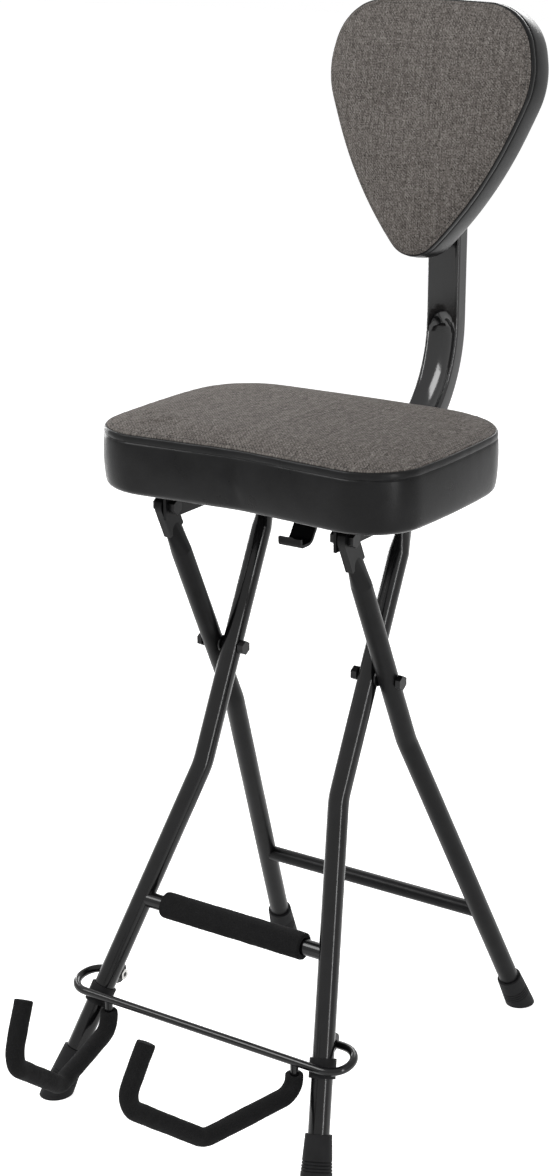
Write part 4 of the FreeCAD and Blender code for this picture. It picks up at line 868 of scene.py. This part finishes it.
class STOOL_OT_stage(bpy.types.Operator):
    """Make the floor, the room, the lamps and the camera"""

    bl_idname = "stool.stage"
    bl_label = "Studio"

    def execute(self, context):
        studio = context.scene.stool_studio
        self.make_floor()
        self.make_room(context.scene, studio.room_light)
        for name, place, target, size, setting in LAMPS:
            softbox(name, place, target, size, getattr(studio, setting))
        lens = bpy.data.cameras.new("camera")
        lens.sensor_fit = "AUTO"
        lens.sensor_width = SENSOR_WIDTH
        lens.lens = studio.lens
        camera = bpy.data.objects.new("camera", lens)
        camera.location = studio.camera_place
        context.scene.collection.objects.link(camera)
        aim(camera, studio.camera_aim)
        context.scene.camera = camera
        context.scene.view_settings.view_transform = "Standard"
        return {"FINISHED"}

    def make_floor(self):
        bm = bmesh.new()
        bmesh.ops.create_grid(bm, x_segments=8, y_segments=8, size=FLOOR_HALF)
        mesh = bpy.data.meshes.new("floor")
        bm.to_mesh(mesh)
        bm.free()
        floor = bpy.data.objects.new("floor", mesh)
        bpy.context.scene.collection.objects.link(floor)
        paper = bpy.data.materials.new("white_paper")
        paper.use_nodes = True
        tree = paper.node_tree
        shader = tree.nodes["Principled BSDF"]
        shader.inputs["Base Color"].default_value = PAPER
        shader.inputs["Roughness"].default_value = 0.9
        shader.inputs["Emission Color"].default_value = WHITE
        brighten = tree.nodes.new("ShaderNodeMath")
        brighten.operation = "MULTIPLY"
        brighten.inputs[1].default_value = FLOOR_GLOW
        tree.links.new(seen_directly(tree), brighten.inputs[0])
        tree.links.new(brighten.outputs[0], shader.inputs["Emission Strength"])
        mesh.materials.append(paper)

    def make_room(self, scene, strength):
        room = bpy.data.worlds.new("white_room")
        room.use_nodes = True
        tree = room.node_tree
        light = tree.nodes["Background"]
        light.inputs["Color"].default_value = WHITE
        level = tree.nodes.new("ShaderNodeMapRange")
        level.inputs["To Min"].default_value = strength
        level.inputs["To Max"].default_value = 1.0
        tree.links.new(seen_directly(tree), level.inputs["Value"])
        tree.links.new(level.outputs[0], light.inputs["Strength"])
        scene.world = room


class STOOL_OT_hard_parts(bpy.types.Operator):
    """Finish the steel, rubber, plastic and plywood"""

    bl_idname = "stool.hard_parts"
    bl_label = "Hard parts"

    def execute(self, context):
        finishes = context.scene.stool_hard
        paint = finishes.paint
        bolt_paint = shaded(paint, BOLT_SHADE)
        dress_node("gloss_black_steel", painted_steel("gloss_enamel", paint, finishes.gloss, GLOSS_IOR))
        dress_node("satin_black_steel", painted_steel("satin_enamel", paint, finishes.satin, SATIN_IOR))
        dress_node("black_fasteners", painted_steel("blacked_bolts", bolt_paint, BOLT_ROUGHNESS, BOLT_IOR))
        dress_node("bright_fasteners", plated_steel("zinc_plate", finishes.steel))
        dress_node("black_rubber", moulded_rubber("moulded_rubber", finishes.rubber))
        dress_node("black_plastic", moulded_plastic("moulded_caps", finishes.plastic))
        dress_node("plywood", plywood("birch_ply", finishes.plywood))
        return {"FINISHED"}


class STOOL_OT_back_post(bpy.types.Operator):
    """Draw in the inner wall of the back post's bend"""

    bl_idname = "stool.back_post"
    bl_label = "Back post"

    def execute(self, context):
        finishes = context.scene.stool_hard
        enamel = painted_steel("post_enamel", finishes.paint, finishes.gloss, POST_IOR)
        buckled_post(context.scene.stool_post, enamel)
        return {"FINISHED"}


class STOOL_OT_cushions(bpy.types.Operator):
    """Sew and fill the seat and the back pad"""

    bl_idname = "stool.cushions"
    bl_label = "Cushions"

    def execute(self, context):
        cloth = context.scene.stool_cloth
        recline = cloth.back_recline
        vinyl = grained_vinyl("grained_vinyl", cloth.vinyl)
        thread = sewing_thread("sewing_thread", cloth.thread)
        seat_fabric = heather_fabric("heather_twill_seat", cloth, (0.0, 0.0, 0.0))
        back_fabric = heather_fabric("heather_twill_back", cloth, (recline - math.pi / 2, 0.0, 0.0))
        cushion("seat", lying_on(UP), *SEAT_FORM, cloth.seat_bow, cloth, seat_fabric, vinyl, thread)
        cushion("back", leaning_back(recline), *BACK_FORM, 0.0, cloth, back_fabric, vinyl, thread)
        return {"FINISHED"}


class STOOL_OT_under_covers(bpy.types.Operator):
    """Staple felt under the seat and behind the back pad"""

    bl_idname = "stool.under_covers"
    bl_label = "Under covers"

    def execute(self, context):
        cloth = context.scene.stool_cloth
        back_lie = leaning_back(cloth.back_recline)
        black_felt = felt("black_felt", cloth.under_cloth)
        wire = plated_steel("staple_wire", context.scene.stool_hard.steel)
        thread = sewing_thread("cover_thread", cloth.thread)
        piece, ring = under_cover("seat_under_felt", "seat_dust_cover", lying_on(UP), cloth, black_felt)
        sewn_line("seat_under_staples", piece, ring, cloth.staple_pitch, STAPLE_LENGTH, STAPLE_THICKNESS,
                  wire, STAPLE_LIFT)
        piece, ring = under_cover("back_rear_felt", "back_rear_cover", back_lie, cloth, black_felt)
        sewn_line("back_rear_stitching", piece, ring, cloth.stitch_pitch, cloth.stitch_length,
                  cloth.thread_thickness, thread)
        return {"FINISHED"}


class STOOL_OT_foam_sleeves(bpy.types.Operator):
    """Pull the foam over the footrest bar and the cradle's hooks"""

    bl_idname = "stool.foam_sleeves"
    bl_label = "Foam sleeves"

    def execute(self, context):
        foam = closed_cell_foam("closed_cell_foam", context.scene.stool_hard.foam)
        soft_sleeve("crossbar_pad", "footrest_foam", "front_frame", foam)
        soft_sleeve("hook_sleeve_left", "hook_foam_left", "cradle", foam)
        soft_sleeve("hook_sleeve_right", "hook_foam_right", "cradle", foam)
        return {"FINISHED"}


STEPS = (STOOL_OT_stage, STOOL_OT_hard_parts, STOOL_OT_back_post, STOOL_OT_cushions, STOOL_OT_under_covers,
         STOOL_OT_foam_sleeves)


class STOOL_PT_dressing(bpy.types.Panel):
    """Lists the steps that dress the stool"""

    bl_idname = "STOOL_PT_dressing"
    bl_label = "Guitar stool"
    bl_space_type = "VIEW_3D"
    bl_region_type = "UI"
    bl_category = "Stool"

    def draw(self, context):
        for step in STEPS:
            self.layout.operator(step.bl_idname)


CLASSES = (StoolStudio, StoolUpholstery, StoolPost, StoolHardFinishes) + STEPS + (STOOL_PT_dressing,)


def register():
    for kind in CLASSES:
        bpy.utils.register_class(kind)
    bpy.types.Scene.stool_studio = bpy.props.PointerProperty(type=StoolStudio)
    bpy.types.Scene.stool_cloth = bpy.props.PointerProperty(type=StoolUpholstery)
    bpy.types.Scene.stool_post = bpy.props.PointerProperty(type=StoolPost)
    bpy.types.Scene.stool_hard = bpy.props.PointerProperty(type=StoolHardFinishes)


def unregister():
    del bpy.types.Scene.stool_hard
    del bpy.types.Scene.stool_post
    del bpy.types.Scene.stool_cloth
    del bpy.types.Scene.stool_studio
    for kind in reversed(CLASSES):
        bpy.utils.unregister_class(kind)


def main():
    register()
    bpy.ops.stool.stage()
    bpy.ops.stool.hard_parts()
    bpy.ops.stool.back_post()
    bpy.ops.stool.cushions()
    bpy.ops.stool.under_covers()
    bpy.ops.stool.foam_sleeves()


if __name__ == "__main__":
    main()
